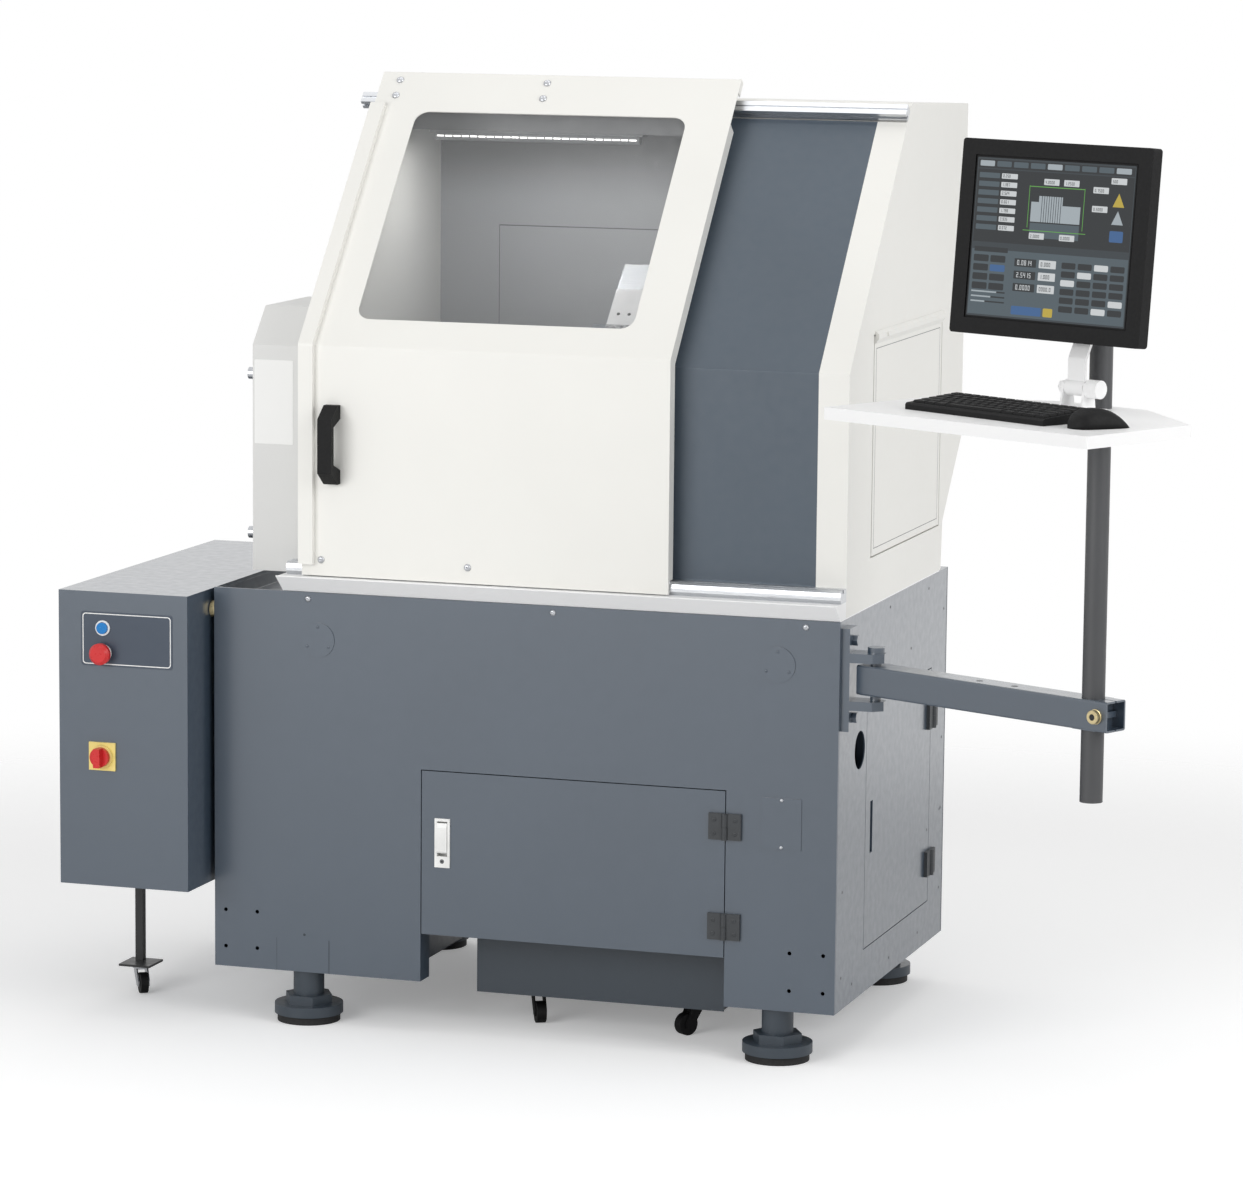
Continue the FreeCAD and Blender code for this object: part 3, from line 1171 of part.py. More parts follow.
def saddle():
    """Saddle on the ways: two runner blocks each side, top plate, screw nut and motor bracket."""
    plate = sloped_bar(SADDLE_X0, SADDLE_X1, SADDLE_S0, SADDLE_S1, SADDLE_N0 + 10, SADDLE_N1)
    window = sloped_bar(SADDLE_X0 + 70, SADDLE_X1 - 70, WAY_S[0] + 45, Z_SCREW_S - 36,
                        SADDLE_N0 + 9, SADDLE_N1 - 8)
    runners = []
    for s in WAY_S:
        half = WAY_W / 2 + 16
        blocks = sloped_bar(SADDLE_X0, SADDLE_X1, s - half, s + half, SADDLE_N0 - 20, SADDLE_N0 + 10)
        slot = sloped_bar(SADDLE_X0 - 1, SADDLE_X1 + 1, s - WAY_W / 2 - WAY_CLEAR,
                          s + WAY_W / 2 + WAY_CLEAR, SADDLE_N0 - 21, BED_N + WAY_H + WAY_CLEAR)
        middle = sloped_bar(SADDLE_X0 + 80, SADDLE_X1 - 80, s - half - 1, s + half + 1,
                            SADDLE_N0 - 21, SADDLE_N0 + 9)
        runners.append(blocks.cut([slot, middle]))
    nut = sloped_bar(SADDLE_X0 + 90, SADDLE_X0 + 150, Z_SCREW_S - 22, Z_SCREW_S + 22, SCREW_N - 11,
                     SADDLE_N0 + 10)
    y, z = sloped(Z_SCREW_S, SCREW_N)
    nut = nut.cut(rod((SADDLE_X0 + 80, y, z), X_AXIS, SCREW_R + 0.3, 90))
    bracket = sloped_bar(X_SCREW_X - 36, X_SCREW_X + 36, SADDLE_S1, SADDLE_S1 + 14, SADDLE_N0 - 20,
                         SADDLE_N1)
    motor = sloped_bar(X_SCREW_X - 30, X_SCREW_X + 30, SADDLE_S1 + 14, SADDLE_S1 + 92,
                       SADDLE_N0 - 24, SADDLE_N1 - 4)
    rails = [sloped_bar(x - 8, x + 8, SADDLE_S0 + 6, SADDLE_S1 - 4, SADDLE_N1, SADDLE_N1 + 9)
             for x in (CROSS_X0 + 22, CROSS_X1 - 22)]
    return joined([plate.cut(window), nut, bracket, motor] + runners + rails)


def cross_slide():
    """Cross slide: ground plate with two rail grooves underneath, T-slots on top."""
    plate = sloped_bar(CROSS_X0, CROSS_X1, CROSS_S0, CROSS_S1, SADDLE_N1 + SLIDE_CLEAR, CROSS_N1)
    cuts = [sloped_bar(x - 8 - SLIDE_CLEAR, x + 8 + SLIDE_CLEAR, CROSS_S0 - 1, CROSS_S1 + 1,
                       SADDLE_N1 - 1, SADDLE_N1 + 9 + SLIDE_CLEAR)
            for x in (CROSS_X0 + 22, CROSS_X1 - 22)]
    cuts.append(sloped_bar(X_SCREW_X - 14, X_SCREW_X + 14, CROSS_S0 - 1, CROSS_S1 + 1, SADDLE_N1 - 1,
                           SADDLE_N1 + 22))
    for x in (CROSS_X0 + 30, CROSS_X1 - 30):
        cuts.append(sloped_bar(x - 4, x + 4, CROSS_S0 - 1, CROSS_S1 + 1, CROSS_N1 - 12, CROSS_N1 + 1))
        cuts.append(sloped_bar(x - 8, x + 8, CROSS_S0 - 1, CROSS_S1 + 1, CROSS_N1 - 14, CROSS_N1 - 7))
    return plate.cut(cuts)


def tool_block():
    """Tool block on the cross slide with a tool slot and a turning tool in it."""
    block = sloped_bar(BLOCK_X0, BLOCK_X1, BLOCK_S0, BLOCK_S1, CROSS_N1, BLOCK_N1)
    slot = sloped_bar(BLOCK_X0 - 1, BLOCK_X0 + 40, BLOCK_S0 - 1, BLOCK_S0 + 90, BLOCK_N1 - 30,
                      BLOCK_N1 - 10)
    tool = sloped_bar(BLOCK_X0 + 6, BLOCK_X0 + 26, BLOCK_S0 - 34, BLOCK_S0 + 88, BLOCK_N1 - 30,
                      BLOCK_N1 - 10.2)
    tip = sloped_prism([(BLOCK_S0 - 34, BLOCK_N1 - 12), (BLOCK_S0 - 34, BLOCK_N1 - 26),
                        (BLOCK_S0 - 42, BLOCK_N1 - 12)], BLOCK_X0 + 6, BLOCK_X0 + 20)
    return joined([block.cut(slot), tool, tip])


def z_screw():
    """Ball screw along the bed with its coupling end."""
    y, z = sloped(Z_SCREW_S, SCREW_N)
    x0 = HEAD_X1 + 6
    length = BED_X1 + 14 - x0
    return rod((x0, y, z), X_AXIS, SCREW_R, length)


def z_motor():
    """Axis motor at the bed's right end, square body with a flanged front."""
    y, z = sloped(Z_SCREW_S, SCREW_N)
    x0 = BED_X1
    turn = FreeCAD.Rotation(X_AXIS, SLOPE)
    housing = box(1, 20, -34, 34, -34, 34).cut(box(-1, 16, -26, 26, -26, 26))
    body = box(20, 104, -29, 29, -29, 29)
    cap = box(104, 118, -22, 22, -22, 22)
    return placed(joined([housing, body, cap]), (x0, y, z), turn)


add("lathe_bed", lathe_bed())
add("headstock", headstock())
spindle_pulley = pulley(SPINDLE_PULLEY_R, SPINDLE_R - 8, SPINDLE_Y, SPINDLE_Z)
add("spindle", group([spindle(), spindle_pulley]))
add("chuck", chuck())
add("drive_belt", drive_belt())
add("motor_pulley", motor_pulley())
add("saddle", saddle())
add("cross_slide", cross_slide())
add("tool_block", tool_block())
add("z_screw", z_screw())
add("drive_motors", group([spindle_motor(), z_motor()]))

# ================================================================ electrical cabinet
ELEC_HINGE_Z = (330.0, 680.0)


def knuckle(z, upper):
    """One barrel of a cabinet hinge: the upper half turns with the cabinet."""
    z0 = z + KNUCKLE_GAP / 2 if upper else z - KNUCKLE_L
    return rod((ELEC_PIN_X, ELEC_PIN_Y, z0), Z_AXIS, KNUCKLE_R, KNUCKLE_L - KNUCKLE_GAP / 2), z0


def cabinet_hinges_fixed():
    """Base side of the cabinet's two hinges: leaf on the left panel, lower barrel and pin."""
    solids = []
    for z in ELEC_HINGE_Z:
        barrel, z0 = knuckle(z, False)
        top = z - KNUCKLE_GAP / 2
        leaf = box(-2.5, 0, ELEC_PIN_Y, ELEC_PIN_Y + 34, z0, top)
        web = box(ELEC_PIN_X, 0, ELEC_PIN_Y + 1.5, ELEC_PIN_Y + 4.5, z0, top)
        pin = rod((ELEC_PIN_X, ELEC_PIN_Y, z0), Z_AXIS, HINGE_PIN_R, 2 * KNUCKLE_L)
        solids.append(joined([barrel, leaf, web, pin]))
    return solids


def electrical_cabinet():
    """Folded steel cabinet with a flanged front, hinge leaves at its rear right edge."""
    t = ELEC_T
    outer = box(ELEC_X0, ELEC_X1, ELEC_Y0, ELEC_Y1, ELEC_Z0, ELEC_Z1)
    inner = box(ELEC_X0 + t, ELEC_X1 - t, ELEC_Y0 + t, ELEC_Y1 - t, ELEC_Z0 + t, ELEC_Z1 - t)
    y0 = ELEC_Y0 - 1
    holes = [rod((START_X, y0, START_Z), Y_AXIS, BUTTON_BORE_R, 10),
             rod((STOP_X, y0, STOP_Z), Y_AXIS, BUTTON_BORE_R, 10),
             rod((DISC_X, y0, DISC_Z), Y_AXIS, BUTTON_BORE_R, 10)]
    shell = outer.cut([inner] + holes)
    solids = [shell]
    for z in ELEC_HINGE_Z:
        barrel, z0 = knuckle(z, True)
        leaf = box(ELEC_PIN_X - 30, ELEC_PIN_X, ELEC_Y1, ELEC_Y1 + 2.5, z0, z + KNUCKLE_L)
        web = box(ELEC_PIN_X - 4, ELEC_PIN_X - 1, ELEC_Y1 + 1, ELEC_PIN_Y, z0, z + KNUCKLE_L)
        bore = rod((ELEC_PIN_X, ELEC_PIN_Y, z0 - 1), Z_AXIS, HINGE_PIN_R + PIN_FIT, KNUCKLE_L + 2)
        solids.append(joined([barrel, leaf, web]).cut(bore))
    back_plate = box(ELEC_X0 + 20, ELEC_X1 - 20, ELEC_Y1 - 30, ELEC_Y1 - t, ELEC_Z0 + 30, ELEC_Z1 - 30)
    return joined(solids + [back_plate])


def stem(x, z):
    """Square stem of a push button, from its cap to the contact block."""
    return box(x - STEM_W / 2, x + STEM_W / 2, ELEC_Y0 - 3, ELEC_Y0 + 22, z - STEM_W / 2, z + STEM_W / 2)


def start_button():
    """Flat push button: round cap on a square stem."""
    inner = ELEC_T - START_PRESS - PRESS_SPARE
    cap = rod((START_X, ELEC_Y0 - 7.5, START_Z), Y_AXIS, START_CAP_R, 7.5 + inner)
    return joined([cap, stem(START_X, START_Z)])


def stop_button():
    """Mushroom head on a waisted neck."""
    r = STOP_CAP_R
    inner = ELEC_T - STOP_PRESS - PRESS_SPARE
    profile = [(0, inner), (NECK_R, inner), (NECK_R, -13), (r, -13), (r, -21), (r - 5, -26), (0, -26)]
    head = spun(profile, (STOP_X, ELEC_Y0, STOP_Z), Y_AXIS)
    return joined([head, stem(STOP_X, STOP_Z)])


def button_collars():
    """Collars round the two buttons, and their contact blocks on the cabinet's inside."""
    solids = []
    w = STEM_W / 2 + BUTTON_CLEAR
    for x, z, r, cap_r in ((START_X, START_Z, 13.5, START_CAP_R), (STOP_X, STOP_Z, 15.0, NECK_R)):
        solids.append(tube((x, ELEC_Y0 - COLLAR_OUT, z), Y_AXIS, r, cap_r + BUTTON_CLEAR, COLLAR_OUT))
        y0 = ELEC_Y0 + ELEC_T
        block = box(x - 14, x + 14, y0, y0 + 36, z - 14, z + 14)
        solids.append(block.cut(box(x - w, x + w, y0 - 1, y0 + 26, z - w, z + w)))
    return solids


def disconnect_plate():
    """Square yellow plate with a raised ring, and the switch body behind the cabinet front."""
    h = 25.0
    plate = box(DISC_X - h, DISC_X + h, ELEC_Y0 - 4.0, ELEC_Y0, DISC_Z - h, DISC_Z + h)
    ring = rod((DISC_X, ELEC_Y0 - 9.5, DISC_Z), Y_AXIS, 21, 5.5)
    y0 = ELEC_Y0 + ELEC_T
    body = box(DISC_X - 22, DISC_X + 22, y0, y0 + 56, DISC_Z - 26, DISC_Z + 26)
    bore = rod((DISC_X, ELEC_Y0 - 10, DISC_Z), Y_AXIS, 6.3, 11)
    return group([joined([plate, ring]).cut(bore), body])


def disconnect_knob():
    """Rotary knob: round skirt with a raised grip bar and a shaft into the switch."""
    y0 = ELEC_Y0
    skirt = spun([(0, 0), (6, 0), (6, -10), (17.5, -10), (17.5, -18), (0, -18)],
                 (DISC_X, y0, DISC_Z), Y_AXIS)
    outline = [(DISC_X - 5.5, DISC_Z - 17), (DISC_X + 5.5, DISC_Z - 17), (DISC_X + 7, DISC_Z),
               (DISC_X + 5.5, DISC_Z + 17), (DISC_X - 5.5, DISC_Z + 17), (DISC_X - 7, DISC_Z)]
    grip = along_y(slab(outline), y0 - 30, y0 - 17)
    return joined([skirt, grip])


def cabinet_leg():
    """Square leg under the cabinet, welded to the cantilevered caster plate."""
    w = LEG_W / 2
    leg = box(LEG_X - w, LEG_X + w, LEG_Y - w, LEG_Y + w, CASTER_PLATE_Z + 4, ELEC_Z0)
    pad = box(LEG_X - 22, LEG_X + 22, LEG_Y - 22, LEG_Y + 22, ELEC_Z0 - 4, ELEC_Z0)
    plate = box(CASTER_X - 30, CASTER_X + 30, CASTER_Y - 32, CASTER_Y + 32, CASTER_PLATE_Z,
                CASTER_PLATE_Z + 4)
    return joined([leg, pad, plate])


def caster_fork(x, y, top, wheel_r, trail, toward, hood_t=2.5, width=17.0):
    """Swivel fork: round race under the carrier and two cheeks down to the wheel."""
    turn = FreeCAD.Rotation(Z_AXIS, toward)
    race = rod((0, 0, top - 6), Z_AXIS, 16.0, 5.7)
    cheek = [(-10, top - 6), (12, top - 6), (trail + 7, wheel_r + 4), (trail + 7, wheel_r - 6),
             (trail - 7, wheel_r - 6), (-10, top - 14)]
    cheeks = []
    for side in (-1, 1):
        a, b = sorted((side * width / 2, side * (width / 2 + hood_t)))
        cheeks.append(along_y(slab(cheek), a, b))
    crown = box(-10, 12, -width / 2, width / 2, top - 8.5, top - 6)
    return placed(joined([race, crown] + cheeks), (x, y, 0), turn)


def rolling_fork():
    """The cabinet caster's fork with the axle that its wheel turns on."""
    turn = FreeCAD.Rotation(Z_AXIS, CASTER_TOWARD)
    axle = rod((CASTER_TRAIL, -9.0, CASTER_R), Y_AXIS, AXLE_R, 18.0)
    fork = caster_fork(CASTER_X, CASTER_Y, CASTER_PLATE_Z, CASTER_R, CASTER_TRAIL, CASTER_TOWARD)
    return joined([fork, placed(axle, (CASTER_X, CASTER_Y, 0), turn)])


def rolling_wheel():
    """Solid tyre with a running bore on the axle."""
    turn = FreeCAD.Rotation(Z_AXIS, CASTER_TOWARD)
    wheel = tube((CASTER_TRAIL, -7.0, CASTER_R), Y_AXIS, CASTER_R, AXLE_R + 0.1, 14.0)
    return placed(wheel, (CASTER_X, CASTER_Y, 0), turn)


# ================================================================ coolant tank
def coolant_tank():
    """Welded tank with a lapped front, turned-in top flange and a baffle."""
    t = TANK_T
    outer = box(TANK_X0, TANK_X1, TANK_Y0, TANK_Y1, TANK_Z0, TANK_Z1)
    inner = box(TANK_X0 + t, TANK_X1 - t, TANK_Y0 + t, TANK_Y1 - t, TANK_Z0 + t, TANK_Z1 - t)
    mouth = box(TANK_X0 + 16, TANK_X1 - 16, TANK_Y0 + 16, TANK_Y1 - 140, TANK_Z1 - 5, TANK_Z1 + 1)
    front = box(TANK_X0 - 2, TANK_X1 + 2, TANK_Y0 - t, TANK_Y0, TANK_Z0 - 1, TANK_Z1)
    baffle = box(TANK_X0 + t, TANK_X1 - t, TANK_Y1 - 150, TANK_Y1 - 148, TANK_Z0 + t, TANK_Z1 - 40)
    return joined([outer.cut([inner, mouth]), front, baffle])


def tank_caster(x, y, toward, wide=17.0):
    """Caster of the tank: fork, and its wheel held between the cheeks."""
    turn = FreeCAD.Rotation(Z_AXIS, toward)
    fork = caster_fork(x, y, TANK_Z0, TANK_CASTER_R, CASTER_TRAIL, toward)
    wheel = rod((CASTER_TRAIL, -wide / 2, TANK_CASTER_R), Y_AXIS, TANK_CASTER_R, wide)
    return [fork, placed(wheel, (x, y, 0), turn)]


def rigid_caster(x, y, wide=17.0):
    """Fixed rear caster of the tank: two cheeks under it with the wheel held between them."""
    top = TANK_Z0
    low = TANK_CASTER_R - 6
    cheek = [(y - 14, top), (y + 14, top), (y + 7, low), (y - 7, low)]
    cheeks = [along_x(slab(cheek), a, a + 2.5) for a in (x - wide / 2 - 2.5, x + wide / 2)]
    crown = box(x - wide / 2 - 2.5, x + wide / 2 + 2.5, y - 14, y + 14, top - 2.5, top)
    return [joined(cheeks + [crown]), rod((x - wide / 2, y, TANK_CASTER_R), X_AXIS, TANK_CASTER_R, wide)]


rear_casters = [solid for x in TANK_CASTER_X for solid in rigid_caster(x, TANK_CASTER_Y[1])]
add("hinge_fixed_leaves", group(base_fixed + side_fixed + cabinet_hinges_fixed()))
add("electrical_cabinet", electrical_cabinet())
add("button_collars", group(button_collars()))
add("start_button", start_button())
add("stop_button", stop_button())
add("disconnect_plate", disconnect_plate())
add("disconnect_knob", disconnect_knob())
add("cabinet_leg", cabinet_leg())
add("cabinet_caster_fork", rolling_fork())
add("cabinet_caster_wheel", rolling_wheel())
add("coolant_tank", group([coolant_tank()] + rear_casters))
for side, x, toward in (("left", TANK_CASTER_X[0], -60), ("right", TANK_CASTER_X[1], -125)):
    add("tank_caster_" + side, group(tank_caster(x, TANK_CASTER_Y[0], toward)))

# ================================================================ operator console
def turned(angle):
    return FreeCAD.Rotation(Z_AXIS, angle)


def arm_point(t, across=0.0):
    """Point (x, y) t along the arm from its pin and across to its left."""
    c = math.cos(math.radians(ARM_ANGLE))
    s = math.sin(math.radians(ARM_ANGLE))
    return (PIN_X + t * c - across * s, PIN_Y + t * s + across * c)


POLE_X, POLE_Y = arm_point(POLE_AT)


def console_bracket():
    """Wall plate with two lugs for the arm's pin, two hex screws and the pin."""
    plate = box(BASE_W, BASE_W + BRACKET_T, BRACKET_Y0, BRACKET_Y1, BRACKET_Z0, BRACKET_Z1)
    middle = (BRACKET_Y0 + BRACKET_Y1) / 2
    lugs = []
    for z in LUG_Z:
        outline = [(BASE_W + BRACKET_T, BRACKET_Y0), (PIN_X, BRACKET_Y0), (PIN_X + LUG_REACH, middle - 9),
                   (PIN_X + LUG_REACH, middle + 9), (PIN_X, BRACKET_Y1), (BASE_W + BRACKET_T, BRACKET_Y1)]
        lugs.append(along_z(slab(outline), z, z + LUG_T))
    screws = []
    for z in (BRACKET_Z0 + 22, BRACKET_Z1 - 22):
        hexed = along_x(hexagon(17.0, (middle, z)), BASE_W + BRACKET_T, BASE_W + BRACKET_T + 9)
        screws.append(hexed)
    low = LUG_Z[0]
    high = LUG_Z[1] + LUG_T
    pin = spun([(0, low), (PIN_R, low), (PIN_R, high), (15, high), (15, high + 10), (0, high + 10)],
               (PIN_X, PIN_Y, 0), Z_AXIS)
    return group([joined([plate, pin] + lugs)] + screws)


def console_arm():
    """Square tube, open at its far end, slit and clamped on the pole by one cross bolt."""
    w = ARM_W / 2
    z0 = ARM_Z
    z1 = ARM_Z + ARM_W
    profile = outline_face([(-w, z0), (w, z0), (w, z1), (-w, z1)], ARM_CORNER)
    hollow = rect(-w + ARM_WALL, w - ARM_WALL, z0 + ARM_WALL, z1 - ARM_WALL)
    tube_out = along_x(profile, -ARM_BACK, ARM_L)
    tube_in = along_x(hollow, -ARM_BACK - 1, ARM_L + 1)
    hub = box(-PIN_R - 6, PIN_R + 6, 1 - w, w - 1, z0, z1)
    bore = rod((0, 0, z0 - 1), Z_AXIS, PIN_R + PIN_CLEAR, ARM_W + 2)
    sleeve = box(POLE_AT - w + 2, POLE_AT + w - 2, 1 - w, w - 1, z0, z1)
    pole_bore = rod((POLE_AT, 0, z0 - 1), Z_AXIS, POLE_R + POLE_CLEAR, ARM_W + 2)
    slit = box(POLE_AT, ARM_L + 1, -1.5, 1.5, z0 - 1, z1 + 1)
    body = joined([tube_out.cut(tube_in), hub, sleeve]).cut([bore, pole_bore, slit])
    mid = (z0 + z1) / 2
    bolt = box(CLAMP_AT - 5, CLAMP_AT + 5, -w - 5, w + 5, mid - 5, mid + 5)
    heads = [along_y(hexagon(19.0, (CLAMP_AT, mid)), -w - 10, -w),
             along_y(hexagon(19.0, (CLAMP_AT, mid)), w, w + 11)]
    clamp = joined([bolt] + heads)
    room = box(CLAMP_AT - 5.3, CLAMP_AT + 5.3, -w - 1, w + 1, mid - 5.3, mid + 5.3)
    return placed(group([body.cut(room), clamp]),
                  (PIN_X, PIN_Y, 0), turned(ARM_ANGLE))


def console_pole():
    """Round tube, open below and capped on top."""
    outer = rod((POLE_X, POLE_Y, POLE_Z0), Z_AXIS, POLE_R, POLE_Z1 - POLE_Z0)
    return outer.cut(rod((POLE_X, POLE_Y, POLE_Z0 - 1), Z_AXIS, POLE_R - POLE_WALL,
                         POLE_Z1 - POLE_Z0 - 2))


def on_console(shape):
    """Moves a shape drawn round the pole, u right and v back, into the machine."""
    return placed(shape, (POLE_X, POLE_Y, 0), turned(SHELF_ANGLE))


def console_shelf():
    """Folded sheet shelf with a down-turned lip all round and a clamp collar on the pole."""
    outline = list(SHELF_OUTLINE)
    outer = along_z(slab(outline, 3.0), SHELF_TOP - SHELF_LIP, SHELF_TOP)
    loop = outline + outline[:1]
    moved = offset_points(loop, SHELF_T)
    start = meeting(moved[-2], moved[-1], moved[0], moved[1])
    inner = along_z(slab([start] + moved[1:-1]), SHELF_TOP - SHELF_LIP - 1, SHELF_TOP - SHELF_T)
    half = POLE_R + 7
    collar = box(-half, half, -half, half, SHELF_TOP - 46, SHELF_TOP - SHELF_T)
    bore = rod((0, 0, SHELF_TOP - 50), Z_AXIS, POLE_R, 60)
    ribs = [box(-60, 60, -200, -198, SHELF_TOP - 16, SHELF_TOP - SHELF_T),
            box(-1, 1, -300, -POLE_R, SHELF_TOP - 16, SHELF_TOP - SHELF_T)]
    return on_console(joined([outer.cut(inner), collar] + ribs).cut(bore))


def keyboard():
    """Low wedge keyboard; each row's keys are one stepped bar, the space bar apart."""
    w = KEYS_W / 2
    d = KEYS_D / 2
    z = SHELF_TOP
    base = along_x(slab([(-d, z), (d, z), (d, z + 17), (d - 4, z + 19), (-d + 3, z + 11), (-d, z + 8)]),
                   -w, w)
    keys = []
    depth = (KEYS_D - 2 * KEYS_EDGE) / KEY_ROWS
    slope = 8.0 / (2 * d - 7)
    for row in range(KEY_ROWS):
        v = -d + KEYS_EDGE + depth * row
        top = z + 11 + (v + d - 3) * slope
        splits = (0.26, 0.62) if row == 0 else (0.80,)
        edges = [0.0] + list(splits) + [1.0]
        for share0, share1 in zip(edges, edges[1:]):
            u0 = -w + KEYS_EDGE + share0 * (KEYS_W - 2 * KEYS_EDGE)
            u1 = -w + KEYS_EDGE + share1 * (KEYS_W - 2 * KEYS_EDGE)
            keys.append(box(u0 + 0.8, u1 - 0.8, v + 0.8, v + depth - 0.8, top - 1, top + 4.0))
    at = (KEYS_U, KEYS_V, 0)
    return on_console(placed(base.fuse(keys), at, turned(KEYS_TURN)))


def mouse():
    """Mouse: a long rounded plan cut to an arched side profile."""
    z = SHELF_TOP
    w = MOUSE_W / 2
    d = MOUSE_L / 2
    plan = [(w * math.cos(math.radians(a)), d * math.sin(math.radians(a))) for a in range(0, 360, 30)]
    side = [(-d, 0), (d, 0), (d, 0.35), (0.75 * d, 0.75), (0.3 * d, 1.0), (-0.3 * d, 0.9), (-d, 0.3)]
    front = [(-w, 0), (w, 0), (w, 0.45), (0.7 * w, 0.85), (0.3 * w, 1.0), (-0.3 * w, 1.0),
             (-0.7 * w, 0.85), (-w, 0.45)]
    arch = along_x(slab([(v, z + MOUSE_H * share) for v, share in side]), -w, w)
    crown = along_y(slab([(u, z + MOUSE_H * share) for u, share in front]), -d, d)
    body = along_z(slab(plan), z, z + MOUSE_H).common(arch).common(crown)
    return on_console(placed(body, (MOUSE_U, MOUSE_V, 0), turned(-20)))


def monitor_stand():
    """Screen stand: base plate on the shelf, two ears and the pivot bolt with a hand knob."""
    u = PIVOT_U
    v = PIVOT_V
    z = SHELF_TOP
    base = box(u - 46, u + 46, v - 26, v + 20, z, z + 4)
    ears = [along_x(slab([(v - 18, z + 3), (v + 16, z + 3), (v + 11, PIVOT_Z + 8), (v, PIVOT_Z + 13),
                          (v - 11, PIVOT_Z + 8)]), side, side + 4)
            for side in (u - 24, u + 20)]
    pin = rod((u - 28, v, PIVOT_Z), X_AXIS, PIVOT_R, 56)
    head = along_x(hexagon(18.0, (v, PIVOT_Z)), u - 34, u - 24)
    knob = rod((u + 24, v, PIVOT_Z), X_AXIS, 15.0, 24)
    return on_console(joined([base, pin, head, knob] + ears))


def on_screen(shape):
    """Moves a shape drawn round the screen's front centre, x right and y up, z to the viewer."""
    tilt = FreeCAD.Rotation(X_AXIS, 90 - SCREEN_TILT)
    return on_console(placed(shape, (SCREEN_U, SCREEN_V, SCREEN_Z), tilt))


def monitor():
    """Screen housing with a bezel recess, swelling back, and the arm down to the pivot."""
    w = SCREEN_W / 2
    h = SCREEN_H / 2
    case = along_z(rect(-w, w, -h, h, 6.0), -SCREEN_T, 0)
    recess = box(-GLASS_W / 2 - 2, GLASS_W / 2 + 2, -GLASS_H / 2 - 2, GLASS_H / 2 + 2, -3.0, 1)
    swell = box(-w + 22, w - 22, -h + 22, h - 22, -SCREEN_T - 22, -SCREEN_T + 1)
    rim = [e for e in swell.Edges if abs(e.CenterOfMass.z + SCREEN_T + 22) < 0.01]
    swell = swell.makeChamfer(20.0, rim)
    glass = along_z(rect(-GLASS_W / 2, GLASS_W / 2, -GLASS_H / 2, GLASS_H / 2, 0), -3.2, -1.2)
    housing = on_screen(joined([case.cut(recess), swell]))
    panel = on_screen(glass)
    return housing, panel


def monitor_arm():
    """Bent flat arm from the pivot up to the screen's mounting plate, part of the screen group."""
    u = PIVOT_U
    tilt = math.radians(SCREEN_TILT)
    reach = SCREEN_T + 22.0
    plate_v = SCREEN_V + math.cos(tilt) * (reach + 3)
    top_z = SCREEN_Z - 10
    v_top = plate_v + 2
    path = [(PIVOT_V, PIVOT_Z), (PIVOT_V, PIVOT_Z + 46), (v_top - 5, PIVOT_Z + 110), (v_top + 4, top_z)]
    band = along_x(band_face(path, 5.0, 3.0), u - 18, u + 18)
    hub = tube((u - 19.5, PIVOT_V, PIVOT_Z), X_AXIS, 13.0, PIVOT_R + 0.1, 39)
    room = rod((u - 25, PIVOT_V, PIVOT_Z), X_AXIS, PIVOT_R + 0.1, 50)
    arm = joined([band, hub]).cut(room)
    return on_console(arm)


add("console_bracket", console_bracket())
add("console_arm", console_arm())
add("console_pole", console_pole())
add("console_shelf", console_shelf())
add("keyboard", keyboard())
add("mouse", mouse())
add("monitor_stand", monitor_stand())
housing, screen_glass = monitor()
add("monitor", group([housing, screen_glass]))
add("monitor_arm", monitor_arm())


# ================================================================ origin and files
def machine_box():
    boxes = [shape.optimalBoundingBox(False) for shape in pieces.values()]
    low = V(min(b.XMin for b in boxes), min(b.YMin for b in boxes), min(b.ZMin for b in boxes))
    high = V(max(b.XMax for b in boxes), max(b.YMax for b in boxes), max(b.ZMax for b in boxes))
    return low, high


LOW, HIGH = machine_box()
ORIGIN = V((LOW.x + HIGH.x) / 2, (LOW.y + HIGH.y) / 2, LOW.z)
os.makedirs("parts", exist_ok=True)
for node, shape in pieces.items():
    shape.translated(-ORIGIN).exportStep("parts/" + node + ".step")
print(len(pieces), "pieces, origin at", [round(c, 3) for c in ORIGIN])
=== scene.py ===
import math

import bpy
from mathutils import Matrix, Vector
from mathutils.geometry import tessellate_polygon


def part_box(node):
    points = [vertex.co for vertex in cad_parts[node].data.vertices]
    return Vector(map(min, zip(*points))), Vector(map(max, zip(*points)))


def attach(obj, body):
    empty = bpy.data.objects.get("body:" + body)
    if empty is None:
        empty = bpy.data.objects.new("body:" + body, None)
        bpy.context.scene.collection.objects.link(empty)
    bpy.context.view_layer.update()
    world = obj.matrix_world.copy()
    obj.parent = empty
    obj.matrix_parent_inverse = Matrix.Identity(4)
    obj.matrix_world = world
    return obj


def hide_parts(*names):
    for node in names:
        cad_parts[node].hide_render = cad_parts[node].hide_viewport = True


# A slant-bed turning lathe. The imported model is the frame; this script adds finishes, small
# fittings, labels and a plain studio. The frame is in metres. Machine coordinates are in
# millimetres from the base cabinet's left front corner on the floor: X right, Y back, Z up.

